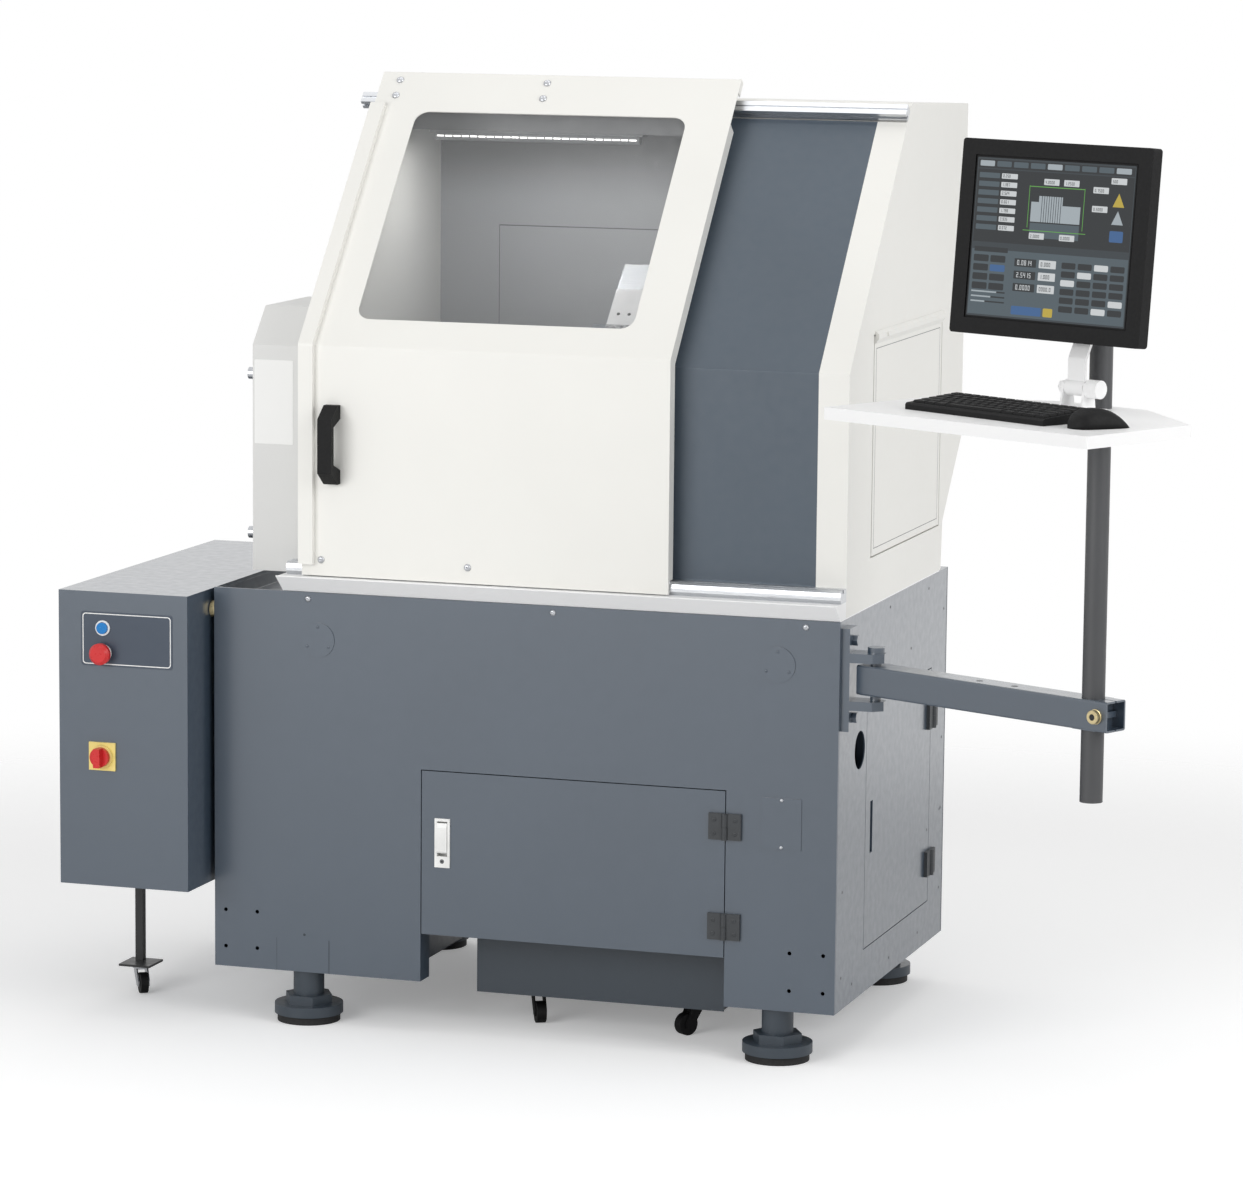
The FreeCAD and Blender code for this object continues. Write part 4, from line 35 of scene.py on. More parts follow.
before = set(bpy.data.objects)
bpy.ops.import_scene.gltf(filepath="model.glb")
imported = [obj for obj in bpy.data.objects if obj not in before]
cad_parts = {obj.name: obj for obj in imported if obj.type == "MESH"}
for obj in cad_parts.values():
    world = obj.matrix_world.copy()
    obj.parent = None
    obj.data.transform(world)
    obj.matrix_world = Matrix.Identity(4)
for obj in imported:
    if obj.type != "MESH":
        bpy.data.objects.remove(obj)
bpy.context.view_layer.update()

BASE_WIDTH = 1145.0        # in machine millimetres, like every size below unless its comment says otherwise
BASE_DEPTH = 737.0

rear_low, rear_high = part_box("base_rear_panel")
CORNER = Vector((rear_low[0], rear_high[1] - BASE_DEPTH / 1000.0, 0.0))


def at(x, y, z):
    """Frame position of a point given in machine millimetres."""
    return CORNER + Vector((x, y, z)) / 1000.0


# ------------------------------------------------------------------ camera
CAMERA_POSITION = (3325.26, -7926.75, 2006.47)   # machine millimetres
CAMERA_YAW = 0.31351839                          # to the left of straight back, radians
CAMERA_PITCH = 0.14481745                        # downwards
CAMERA_ROLL = 0.00947674
CAMERA_LENS = 142.13
CAMERA_SENSOR = 36.0
CAMERA_REACH = 100.0                             # metres


def add_camera():
    """Camera fitted to the base cabinet's and the hood's edges."""
    forward_flat = Vector((-math.sin(CAMERA_YAW), math.cos(CAMERA_YAW), 0.0))
    right_flat = Vector((math.cos(CAMERA_YAW), math.sin(CAMERA_YAW), 0.0))
    up = Vector((0.0, 0.0, 1.0))
    forward = forward_flat * math.cos(CAMERA_PITCH) - up * math.sin(CAMERA_PITCH)
    rise = up * math.cos(CAMERA_PITCH) + forward_flat * math.sin(CAMERA_PITCH)
    right = right_flat * math.cos(CAMERA_ROLL) + rise * math.sin(CAMERA_ROLL)
    top = rise * math.cos(CAMERA_ROLL) - right_flat * math.sin(CAMERA_ROLL)
    data = bpy.data.cameras.new("camera")
    data.lens = CAMERA_LENS
    data.sensor_fit = "HORIZONTAL"
    data.sensor_width = CAMERA_SENSOR
    data.clip_end = CAMERA_REACH
    camera = bpy.data.objects.new("camera", data)
    turn = Matrix((right, top, -forward)).transposed().to_4x4()
    camera.matrix_world = Matrix.Translation(at(*CAMERA_POSITION)) @ turn
    bpy.context.scene.collection.objects.link(camera)
    bpy.context.scene.camera = camera


# ------------------------------------------------------------------ studio
WORLD_LIGHT = 0.47


def add_world():
    """Even white light; camera, glossy and transmitted rays see plain white."""
    world = bpy.data.worlds.new("studio")
    bpy.context.scene.world = world
    world.use_nodes = True
    nodes = world.node_tree.nodes
    links = world.node_tree.links
    nodes.clear()
    out = nodes.new("ShaderNodeOutputWorld")
    light = nodes.new("ShaderNodeBackground")
    light.inputs["Color"].default_value = (1.0, 1.0, 1.0, 1.0)
    light.inputs["Strength"].default_value = WORLD_LIGHT
    seen = nodes.new("ShaderNodeBackground")
    seen.inputs["Color"].default_value = (1.0, 1.0, 1.0, 1.0)
    seen.inputs["Strength"].default_value = 1.0
    path = nodes.new("ShaderNodeLightPath")
    either = nodes.new("ShaderNodeMath")
    either.operation = "MAXIMUM"
    also = nodes.new("ShaderNodeMath")
    also.operation = "MAXIMUM"
    links.new(path.outputs["Is Camera Ray"], either.inputs[0])
    links.new(path.outputs["Is Glossy Ray"], either.inputs[1])
    links.new(either.outputs[0], also.inputs[0])
    links.new(path.outputs["Is Transmission Ray"], also.inputs[1])
    mix = nodes.new("ShaderNodeMixShader")
    links.new(also.outputs[0], mix.inputs[0])
    links.new(light.outputs[0], mix.inputs[1])
    links.new(seen.outputs[0], mix.inputs[2])
    links.new(mix.outputs[0], out.inputs["Surface"])


def add_area(name, position, target, size, power):
    """Area lamp aimed at a point; places in machine millimetres, size in metres, power in watts."""
    data = bpy.data.lights.new(name, "AREA")
    data.shape = "RECTANGLE"
    data.size, data.size_y = size
    data.energy = power
    lamp = bpy.data.objects.new(name, data)
    lamp.location = at(*position)
    aim = at(*target) - lamp.location
    lamp.rotation_euler = aim.to_track_quat("-Z", "Y").to_euler()
    bpy.context.scene.collection.objects.link(lamp)


FLOOR_HALF = 7.0           # metres
FADE_START = 1.9           # metres from the frame's origin where the floor begins to fade
FADE_END = 3.6
FLOOR_GLOW = 0.24
FLOOR_WHITE = 0.95


def add_floor():
    """White floor that keeps the machine's shadow and fades into the white surroundings."""
    mesh = bpy.data.meshes.new("floor")
    half = FLOOR_HALF
    mesh.from_pydata([(-half, -half, 0), (half, -half, 0), (half, half, 0), (-half, half, 0)], [],
                     [(0, 1, 2, 3)])
    floor = bpy.data.objects.new("floor", mesh)
    bpy.context.scene.collection.objects.link(floor)
    material = bpy.data.materials.new("floor")
    material.use_nodes = True
    tree = material.node_tree
    nodes = tree.nodes
    links = tree.links
    shader = nodes["Principled BSDF"]
    shader.inputs["Base Color"].default_value = (FLOOR_WHITE, FLOOR_WHITE, FLOOR_WHITE, 1.0)
    shader.inputs["Roughness"].default_value = 0.9
    shader.inputs["Specular IOR Level"].default_value = 0.1
    shader.inputs["Emission Color"].default_value = (1.0, 1.0, 1.0, 1.0)
    path = nodes.new("ShaderNodeLightPath")
    scale = nodes.new("ShaderNodeMath")
    scale.operation = "MULTIPLY"
    scale.inputs[1].default_value = FLOOR_GLOW
    links.new(path.outputs["Is Camera Ray"], scale.inputs[0])
    links.new(scale.outputs[0], shader.inputs["Emission Strength"])
    coords = nodes.new("ShaderNodeTexCoord")
    distance = nodes.new("ShaderNodeVectorMath")
    distance.operation = "LENGTH"
    links.new(coords.outputs["Object"], distance.inputs[0])
    fade = nodes.new("ShaderNodeMapRange")
    fade.interpolation_type = "SMOOTHSTEP"
    fade.inputs["From Min"].default_value = FADE_START
    fade.inputs["From Max"].default_value = FADE_END
    links.new(distance.outputs["Value"], fade.inputs["Value"])
    clear = nodes.new("ShaderNodeBsdfTransparent")
    mix = nodes.new("ShaderNodeMixShader")
    links.new(fade.outputs["Result"], mix.inputs[0])
    links.new(shader.outputs[0], mix.inputs[1])
    links.new(clear.outputs[0], mix.inputs[2])
    links.new(mix.outputs[0], nodes["Material Output"].inputs["Surface"])
    mesh.materials.append(material)


add_camera()
add_world()
add_area("key", (-1300, -4600, 2100), (500, 200, 900), (3.0, 2.2), 102)
add_area("right", (4600, -1200, 2600), (1000, 300, 900), (2.4, 2.4), 64)
add_area("top", (600, 400, 4400), (600, 300, 0), (3.0, 3.0), 24)
add_area("work_lamp", (330, 430, 1480), (170, 520, 1280), (0.2, 0.04), 0.1)
add_area("light_strip", (427, 497, 1541), (427, 497, 900), (0.38, 0.012), 0.36)
add_floor()
bpy.context.scene.view_settings.view_transform = "Standard"


# ------------------------------------------------------------------ materials
NOISE_LOW, NOISE_HIGH = 0.3, 0.7     # where most of a noise texture's values lie


def linear(r, g, b):
    """Linear colour of an 8-bit screen colour."""
    def one(v):
        """Linear level of one channel."""
        v = v / 255.0
        return v / 12.92 if v <= 0.04045 else ((v + 0.055) / 1.055) ** 2.4
    return (one(r), one(g), one(b), 1.0)


def new_material(name, color, roughness, metallic=0.0):
    """New material of one plain colour, with its shader node."""
    material = bpy.data.materials.new(name)
    material.use_nodes = True
    shader = material.node_tree.nodes["Principled BSDF"]
    shader.inputs["Base Color"].default_value = color
    shader.inputs["Roughness"].default_value = roughness
    shader.inputs["Metallic"].default_value = metallic
    return material, shader


def noise(tree, scale, detail=2.0, stretch=None):
    """Noise in object coordinates, in cycles a metre."""
    coords = tree.nodes.new("ShaderNodeTexCoord")
    texture = tree.nodes.new("ShaderNodeTexNoise")
    texture.inputs["Scale"].default_value = scale
    texture.inputs["Detail"].default_value = detail
    source = coords.outputs["Object"]
    if stretch:
        mapping = tree.nodes.new("ShaderNodeMapping")
        mapping.inputs["Scale"].default_value = stretch
        tree.links.new(source, mapping.inputs["Vector"])
        source = mapping.outputs["Vector"]
    tree.links.new(source, texture.inputs["Vector"])
    return texture.outputs["Fac"]


def spread(tree, value, low, high):
    """Map a noise value onto a range."""
    node = tree.nodes.new("ShaderNodeMapRange")
    node.inputs["From Min"].default_value = NOISE_LOW
    node.inputs["From Max"].default_value = NOISE_HIGH
    node.inputs["To Min"].default_value = low
    node.inputs["To Max"].default_value = high
    tree.links.new(value, node.inputs["Value"])
    return node.outputs["Result"]


def tint(tree, shader, value, color, dark, light):
    """Vary the base colour between a darker and a lighter share of itself."""
    ramp = tree.nodes.new("ShaderNodeValToRGB")
    ramp.color_ramp.elements[0].position = NOISE_LOW
    ramp.color_ramp.elements[1].position = NOISE_HIGH
    ramp.color_ramp.elements[0].color = tuple(c * dark for c in color[:3]) + (1.0,)
    ramp.color_ramp.elements[1].color = tuple(min(c * light, 1.0) for c in color[:3]) + (1.0,)
    tree.links.new(value, ramp.inputs["Fac"])
    tree.links.new(ramp.outputs["Color"], shader.inputs["Base Color"])


def bump(tree, shader, value, strength, distance):
    """Raise the surface by a noise value; distance in metres."""
    node = tree.nodes.new("ShaderNodeBump")
    node.inputs["Strength"].default_value = strength
    node.inputs["Distance"].default_value = distance
    tree.links.new(value, node.inputs["Height"])
    tree.links.new(node.outputs["Normal"], shader.inputs["Normal"])


def powder_coat(name, color, roughness, peel=0.25, vary=0.05, coat=0.0):
    """Sprayed paint: broad shade drift, orange-peel bump and uneven gloss."""
    material, shader = new_material(name, color, roughness)
    shader.inputs["Coat Weight"].default_value = coat
    shader.inputs["Coat Roughness"].default_value = 0.2
    shader.inputs["IOR"].default_value = 1.5 + 0.13 * coat
    tree = material.node_tree
    tint(tree, shader, noise(tree, 3.5, 4.0), color, 1.0 - vary, 1.0 + vary)
    tree.links.new(spread(tree, noise(tree, 60.0, 3.0), roughness - 0.05, roughness + 0.06),
                   shader.inputs["Roughness"])
    bump(tree, shader, noise(tree, 520.0, 2.0), peel, 0.0004)
    return material


def moulded(name, color, roughness, grain=0.3, gloss=0.5):
    """Moulded plastic or rubber with a fine grain."""
    material, shader = new_material(name, color, roughness)
    shader.inputs["Specular IOR Level"].default_value = gloss
    tree = material.node_tree
    tint(tree, shader, noise(tree, 30.0, 3.0), color, 0.93, 1.07)
    tree.links.new(spread(tree, noise(tree, 200.0, 2.0), roughness - 0.04, roughness + 0.05),
                   shader.inputs["Roughness"])
    bump(tree, shader, noise(tree, 1500.0, 1.0), grain, 0.0002)
    return material


def metal(name, color, roughness, stretch=(1.0, 40.0, 40.0), brush=0.2):
    """Bare metal with fine lines along X."""
    material, shader = new_material(name, color, roughness, 1.0)
    tree = material.node_tree
    lines = noise(tree, 22.0, 4.0, stretch)
    tint(tree, shader, lines, color, 0.9, 1.06)
    tree.links.new(spread(tree, lines, roughness - 0.06, roughness + 0.08), shader.inputs["Roughness"])
    bump(tree, shader, lines, brush, 0.0002)
    return material


def casting(name, color, roughness):
    """Painted casting with a coarse skin."""
    material, shader = new_material(name, color, roughness)
    tree = material.node_tree
    tint(tree, shader, noise(tree, 14.0, 5.0), color, 0.88, 1.1)
    bump(tree, shader, noise(tree, 160.0, 4.0), 0.5, 0.0012)
    return material


def glass(name):
    """Clear sheet with a slightly grey body and soft mirror reflections."""
    material, shader = new_material(name, (0.92, 0.94, 0.95, 1.0), 0.02)
    shader.inputs["Alpha"].default_value = 0.06
    shader.inputs["Specular IOR Level"].default_value = 0.35
    return material


def glowing(name, color, strength):
    """Surface that shines by itself."""
    material, shader = new_material(name, color, 0.4)
    shader.inputs["Emission Color"].default_value = color
    shader.inputs["Emission Strength"].default_value = strength
    return material


def speckle(material):
    """Scatter dark flecks over a bright face."""
    tree = material.node_tree
    shader = tree.nodes["Principled BSDF"]
    tint(tree, shader, noise(tree, 260.0, 2.0), linear(160, 160, 162), 0.2, 2.0)


GREY_BLUE = linear(61, 74, 88)
WARM_WHITE = linear(240, 239, 234)
paint_base = powder_coat("base_grey_blue", GREY_BLUE, 0.36, 0.12, 0.04, 1.0)
paint_panel = powder_coat("fixed_panel_grey_blue", linear(70, 82, 94), 0.5, 0.25, 0.05, 0.2)
# Darker copy of the base's grey-blue for the levelling feet and the coolant tank: painted shade low under
# the machine.
paint_low_shaded = powder_coat("low_grey_blue_painted_shade", linear(53, 62, 71), 0.42, 0.25, 0.06, 0.15)
paint_hood = powder_coat("hood_white", WARM_WHITE, 0.36, 0.18, 0.015)
# Grey of the inner rear wall; the function below adds painted shade near its upper edge.
paint_inner_with_shade = powder_coat("inner_wall_grey_painted_shade", linear(166, 168, 171), 0.4, 0.15, 0.02)
paint_shelf = powder_coat("shelf_white", linear(252, 252, 252), 0.42, 0.15, 0.01)
paint_pole = powder_coat("pole_charcoal", linear(70, 71, 73), 0.42)
paint_black = powder_coat("black_paint", linear(34, 35, 36), 0.4)
paint_drive = powder_coat("drive_cover_white", linear(222, 222, 220), 0.38, 0.18, 0.015)
plastic_black = moulded("black_plastic", linear(13, 13, 14), 0.6, 0.3, 0.22)
plastic_dark = moulded("hinge_plastic", linear(52, 55, 58), 0.5)
plastic_white = moulded("white_plastic", linear(238, 238, 236), 0.3, 0.1)
plastic_blue = moulded("start_blue", linear(0, 122, 196), 0.25, 0.05)
plastic_red = moulded("stop_red", linear(205, 38, 40), 0.3, 0.05)
plastic_yellow = moulded("disconnect_yellow", linear(236, 214, 130), 0.4, 0.1)
rubber = moulded("foot_rubber", linear(20, 20, 21), 0.7, 0.5)
aluminium = metal("rail_aluminium", linear(205, 207, 210), 0.3)
zinc = metal("zinc_plate", linear(190, 192, 196), 0.28, (8.0, 8.0, 8.0), 0.05)
ground_steel = metal("ground_steel", linear(196, 198, 202), 0.3)
cast_grey = casting("bed_casting", linear(120, 126, 132), 0.5)
window_clear = glass("window_clear")
light_bar = moulded("light_housing", linear(150, 152, 154), 0.5, 0.1)
led_glow = glowing("led_strip", (1.0, 0.99, 0.96, 1.0), 2.2)
brass = metal("brass", linear(206, 190, 148), 0.32, (8.0, 8.0, 8.0), 0.05)
# Ground steel of the cross slide's face; its near-white colour and low metal share are painted sheen.
steel_with_painted_sheen = metal("steel_with_painted_sheen", linear(232, 235, 238), 0.42)
steel_with_painted_sheen.node_tree.nodes["Principled BSDF"].inputs["Metallic"].default_value = 0.3
# Near-white face on the tool block: a painted highlight.
white_painted_highlight = moulded("white_painted_highlight", linear(252, 252, 252), 0.4, 0.1)
speckled = moulded("sprayed_face", linear(230, 230, 232), 0.4, 0.2)
speckle(speckled)
label_slate = powder_coat("label_slate", linear(62, 72, 86), 0.35, 0.1, 0.03)
label_white = powder_coat("label_white", linear(243, 243, 241), 0.4, 0.1, 0.01)
# Near-black for the insides of holes, sockets and the keyhole: painted shade.
hole_shade_dark = moulded("hole_shade_dark", linear(22, 24, 27), 0.7, 0.2)
# Grey for seams and the lock barrel, and for the side cover's fold line and the arm's holes, where it is
# painted shade.
grey_seams_and_painted_shade = moulded("grey_seams_and_painted_shade", linear(96, 98, 100), 0.6, 0.2)
mark_blue = moulded("mark_blue", linear(40, 47, 55), 0.7, 0.2)

FINISHES = {
    paint_base: ["base_front_panel", "base_left_panel", "base_right_panel", "base_rear_panel",
                 "base_inner_panels", "base_door", "side_door", "electrical_cabinet",
                 "console_bracket", "console_arm"],
    paint_low_shaded: ["levelling_feet", "coolant_tank"],
    paint_panel: ["enclosure_fixed_panel"],
    paint_hood: ["enclosure_left_wall", "enclosure_right_wall", "enclosure_roof",
                 "side_access_cover", "sliding_door"],
    paint_drive: ["drive_cover"],
    paint_inner_with_shade: ["splash_back"],
    paint_shelf: ["chip_pan", "console_shelf", "monitor_stand", "monitor_arm"],
    paint_pole: ["console_pole"],
    paint_black: ["cabinet_leg", "drive_motors"],
    plastic_black: ["door_handle", "keyboard", "mouse", "monitor", "drive_belt",
                    "cabinet_caster_wheel", "tank_caster_left", "tank_caster_right"],
    plastic_dark: ["base_door_hinge_leaves", "hinge_fixed_leaves"],
    plastic_white: ["base_door_latch", "latch_paddle", "button_collars"],
    plastic_blue: ["start_button"],
    plastic_red: ["stop_button", "disconnect_knob"],
    plastic_yellow: ["disconnect_plate"],
    rubber: ["foot_rubbers"],
    aluminium: ["door_rails"],
    zinc: ["door_carriages", "cover_knobs", "cabinet_caster_fork"],
    ground_steel: ["spindle", "chuck", "cross_slide", "tool_block", "z_screw", "motor_pulley"],
    cast_grey: ["lathe_bed", "headstock", "saddle"],
    window_clear: ["door_window"],
    light_bar: ["work_light"],
}


def dress_frame():
    """Give every carried-over node its finish."""
    for material, names in FINISHES.items():
        for name in names:
            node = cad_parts[name]
            for k in range(max(len(node.material_slots), 1)):
                if len(node.material_slots) <= k:
                    node.data.materials.append(material)
                node.material_slots[k].link = "OBJECT"
                node.material_slots[k].material = material


INNER_WALL_Y = 698.0       # front face of the hood's inner rear wall
# Painted shade on the inner wall: its paint darkens from SHADE_FOOT up to SHADE_TOP, under the roof behind
# the light bar.
SHADE_FOOT, SHADE_TOP = 1412.0, 1530.0
SHADE_SHARE = 0.4          # of the paint's own level, from SHADE_TOP up


def paint_shade_on_inner_wall():
    """Painted shade: darken the inner wall's paint towards its upper edge, behind the light bar, where less
    light falls.
    """
    tree = paint_inner_with_shade.node_tree
    shader = tree.nodes["Principled BSDF"]
    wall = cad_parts["splash_back"]
    back = wall.matrix_world.inverted()
    high, low = (back @ at(0.0, INNER_WALL_Y, z) for z in (SHADE_TOP, SHADE_FOOT))
    up = (high - low).normalized()
    coords = tree.nodes.new("ShaderNodeTexCoord")
    height = tree.nodes.new("ShaderNodeVectorMath")
    height.operation = "DOT_PRODUCT"
    height.inputs[1].default_value = up
    tree.links.new(coords.outputs["Object"], height.inputs[0])
    fade = tree.nodes.new("ShaderNodeMapRange")
    fade.interpolation_type = "SMOOTHSTEP"
    fade.inputs["From Min"].default_value = low.dot(up)
    fade.inputs["From Max"].default_value = high.dot(up)
    fade.inputs["To Min"].default_value = 1.0
    fade.inputs["To Max"].default_value = SHADE_SHARE
    tree.links.new(height.outputs["Value"], fade.inputs["Value"])
    color = shader.inputs["Base Color"].links[0].from_socket
    mix = tree.nodes.new("ShaderNodeVectorMath")
    mix.operation = "SCALE"
    tree.links.new(color, mix.inputs[0])
    tree.links.new(fade.outputs["Result"], mix.inputs["Scale"])
    tree.links.new(mix.outputs["Vector"], shader.inputs["Base Color"])


dress_frame()
paint_shade_on_inner_wall()


# ------------------------------------------------------------------ mesh helpers
def new_piece(name, vertices, faces, materials, face_materials=None, body=None, smooth=False):
    """Mesh piece in frame coordinates, riding on a body."""
    mesh = bpy.data.meshes.new(name)
    mesh.from_pydata([tuple(v) for v in vertices], [], faces)
    for material in materials:
        mesh.materials.append(material)
    if face_materials:
        for polygon, k in zip(mesh.polygons, face_materials):
            polygon.material_index = k
    for polygon in mesh.polygons:
        polygon.use_smooth = smooth
    mesh.validate()
    mesh.update()
    piece = bpy.data.objects.new(name, mesh)
    bpy.context.scene.collection.objects.link(piece)
    if body:
        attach(piece, body)
    return piece


def rounded_rect(x0, x1, y0, y1, radius, steps=6):
    """Corner-rounded outline, anticlockwise."""
    points = []
    for cx, cy, start in ((x1 - radius, y0 + radius, -90), (x1 - radius, y1 - radius, 0),
                          (x0 + radius, y1 - radius, 90), (x0 + radius, y0 + radius, 180)):
        for k in range(steps + 1):
            a = math.radians(start + 90.0 * k / steps)
            points.append((cx + radius * math.cos(a), cy + radius * math.sin(a)))
    return points


def circle(u, v, radius, steps, way=1.0):
    """Round outline, anticlockwise, or clockwise where way is -1."""
    angles = [math.tau * k / steps for k in range(steps)]
    return [(u + radius * math.cos(a), v + way * radius * math.sin(a)) for a in angles]


class Sheet:
    """Collects raised flat shapes on one plane into a single mesh."""

    def __init__(self, place):
        self.place = place          # maps (u, v, out) to a frame position
        self.vertices = []
        self.faces = []
        self.kinds = []

    def plate(self, outline, low, high, kind):
        """Solid plate over an outline, from height low to high."""
        start = len(self.vertices)
        count = len(outline)
        for height in (low, high):
            self.vertices += [self.place(u, v, height) for u, v in outline]
        self.faces.append(tuple(start + count + k for k in range(count)))
        self.faces.append(tuple(start + count - 1 - k for k in range(count)))
        for k in range(count):
            n = (k + 1) % count
            self.faces.append((start + k, start + n, start + count + n, start + count + k))
        self.kinds += [kind] * (count + 2)

    def ring(self, outer, inner, low, high, kind):
        """Raised frame between two outlines with the same number of points."""
        start = len(self.vertices)
        count = len(outer)
        for outline, height in ((outer, low), (outer, high), (inner, high), (inner, low)):
            self.vertices += [self.place(u, v, height) for u, v in outline]
        for k in range(count):
            n = (k + 1) % count
            for level in range(4):
                a = start + level * count
                b = start + ((level + 1) % 4) * count
                self.faces.append((a + k, a + n, b + n, b + k))
        self.kinds += [kind] * (4 * count)

    def box(self, u0, u1, v0, v1, low, high, kind):
        """Square-cornered plate."""
        self.plate([(u0, v0), (u1, v0), (u1, v1), (u0, v1)], low, high, kind)

    def tile(self, u0, u1, v0, v1, radius, low, high, kind):
        """Small plate with rounded corners."""
        self.plate(rounded_rect(u0, u1, v0, v1, radius, 2), low, high, kind)

    def disc(self, u, v, radius, low, high, kind, steps=20):
        """Round plate."""
        self.plate(circle(u, v, radius, steps), low, high, kind)

    def pierced(self, outline, spots, low, high, kind, steps=28):
        """Plate with round holes, each spot a (u, v, radius)."""
        loops = [list(outline)] + [circle(u, v, radius, steps, -1.0) for u, v, radius in spots]
        start = len(self.vertices)
        flat = [point for loop in loops for point in loop]
        for height in (low, high):
            self.vertices += [self.place(u, v, height) for u, v in flat]
        count = len(flat)
        fills = tessellate_polygon([[Vector((u, v, 0.0)) for u, v in loop] for loop in loops])
        for a, b, c in fills:
            self.faces.append((start + count + a, start + count + b, start + count + c))
            self.faces.append((start + c, start + b, start + a))
        first = start
        for loop in loops:
            size = len(loop)
            for k in range(size):
                n = (k + 1) % size
                self.faces.append((first + k, first + n, first + count + n, first + count + k))
            first += size
        self.kinds += [kind] * (2 * len(fills) + count)

    def piece(self, name, materials, body):
        """The collected shapes as one piece on a body."""
        return new_piece(name, self.vertices, self.faces, materials, self.kinds, body)


# ------------------------------------------------------------------ labels
def front_plane(y):
    """Plane facing the viewer at machine depth y, in machine millimetres."""
    return lambda u, v, out: at(u, y - out, v)


CABINET_FRONT_Y = -98.0
DRIVE_COVER_Y = 35.0


def cabinet_label():
    """Dark switch plate with a fine white border, bare of lettering."""
    sheet = Sheet(front_plane(CABINET_FRONT_Y))
    x0, x1, z0, z1 = -212.0, -38.0, 637.0, 733.5
    buttons = ((-170.0, 705.0, 13.6), (-169.0, 660.6, 15.1))    # start and stop, with the holes' radii
    sheet.pierced(rounded_rect(x0, x1, z0, z1, 5.0), buttons, 0.0, 0.6, 0)
    sheet.ring(rounded_rect(x0 + 3.0, x1 - 3.0, z0 + 3.0, z1 - 3.0, 6.0),
               rounded_rect(x0 + 4.6, x1 - 4.6, z0 + 4.6, z1 - 4.6, 5.0), 0.5, 0.75, 1)
    sheet.piece("cabinet_label", [label_slate, label_white], "electrical_cabinet")


def drive_cover_label():
    """Bare white plate on the drive cover's upper front."""
    sheet = Sheet(front_plane(DRIVE_COVER_Y))
    sheet.plate(rounded_rect(63.0, 135.5, 1028.0, 1176.0, 2.0), 0.0, 0.5, 0)
    sheet.piece("drive_cover_label", [label_white], "machine")


# ------------------------------------------------------------------ screen
ARM_ANGLE = math.radians(-25.5)
PIN = (1200.0, 34.0)
POLE_AT = 466.5
POLE = (PIN[0] + POLE_AT * math.cos(ARM_ANGLE), PIN[1] + POLE_AT * math.sin(ARM_ANGLE))
SHELF_ANGLE = math.radians(-27.5)
SCREEN_TILT = math.radians(5.0)
SCREEN_CENTRE = (-62.0, -62.0, 1443.4)
GLASS_FACE = -1.2          # the glass lies this far out of SCREEN_CENTRE's plane


def on_console(u, v, z):
    """Machine point of a console point: u right and v back of the pole."""
    c, s = math.cos(SHELF_ANGLE), math.sin(SHELF_ANGLE)
    return at(POLE[0] + u * c - v * s, POLE[1] + u * s + v * c, z)


def on_screen(x, y, out):
    """Point on the screen: x right and y up of its centre, out towards the viewer."""
    c, s = math.cos(SCREEN_TILT), math.sin(SCREEN_TILT)
    up_v, up_z = s, c
    out_v, out_z = -c, s
    depth = GLASS_FACE + out
    u0, v0, z0 = SCREEN_CENTRE
    return on_console(u0 + x, v0 + y * up_v + depth * out_v, z0 + y * up_z + depth * out_z)


def lit(name, r, g, b):
    """Screen colour: glows at its own level under a smooth cover."""
    material, shader = new_material(name, linear(12, 13, 14), 0.22)
    tree = material.node_tree
    color = linear(r, g, b)
    shader.inputs["Emission Strength"].default_value = 0.85
    grain = noise(tree, 900.0, 1.0)
    ramp = tree.nodes.new("ShaderNodeValToRGB")
    ramp.color_ramp.elements[0].position = 0.2
    ramp.color_ramp.elements[0].color = tuple(c * 0.9 for c in color[:3]) + (1.0,)
    ramp.color_ramp.elements[1].position = 0.8
    ramp.color_ramp.elements[1].color = color
    tree.links.new(grain, ramp.inputs["Fac"])
    tree.links.new(ramp.outputs["Color"], shader.inputs["Emission Color"])
    return material


SEGMENTS = {"0": "abcdef", "1": "bc", "2": "abged", "3": "abgcd", "4": "fgbc", "5": "afgcd",
            "6": "afgecd", "7": "abc", "8": "abcdefg", "9": "abcdfg"}


def number(sheet, text, u, v, high, low, top, kind):
    """Plain seven-segment figures, v at their foot."""
    wide = high * 0.5
    t = high * 0.13
    half = high / 2
    strokes = {"a": (0, wide, high - t, high), "b": (wide - t, wide, half, high),
               "c": (wide - t, wide, 0, half), "d": (0, wide, 0, t), "e": (0, t, 0, half),
               "f": (0, t, half, high), "g": (0, wide, half - t / 2, half + t / 2)}
    for letter in text:
        if letter == ".":
            sheet.box(u, u + t * 1.2, v, v + t * 1.2, low, top, kind)
            u += t * 3.0
            continue
        for name in SEGMENTS[letter]:
            a, b, c, d = strokes[name]
            sheet.box(u + a, u + b, v + c, v + d, low, top, kind)
        u += wide * 1.45


BACK, PANEL, FIELD, GREEN, BLUE, AMBER, DEEP, PALE = range(8)
SCREEN_LEVELS = (("screen_back", 47, 56, 62), ("screen_panel", 78, 92, 100),
                 ("screen_field", 214, 218, 220), ("screen_green", 96, 168, 70),
                 ("screen_blue", 54, 98, 150), ("screen_amber", 196, 172, 60),
                 ("screen_deep", 27, 33, 37), ("screen_pale", 170, 180, 186))
HALF_W, HALF_H = 167.0, 129.0      # half the interface, just inside the screen's edges


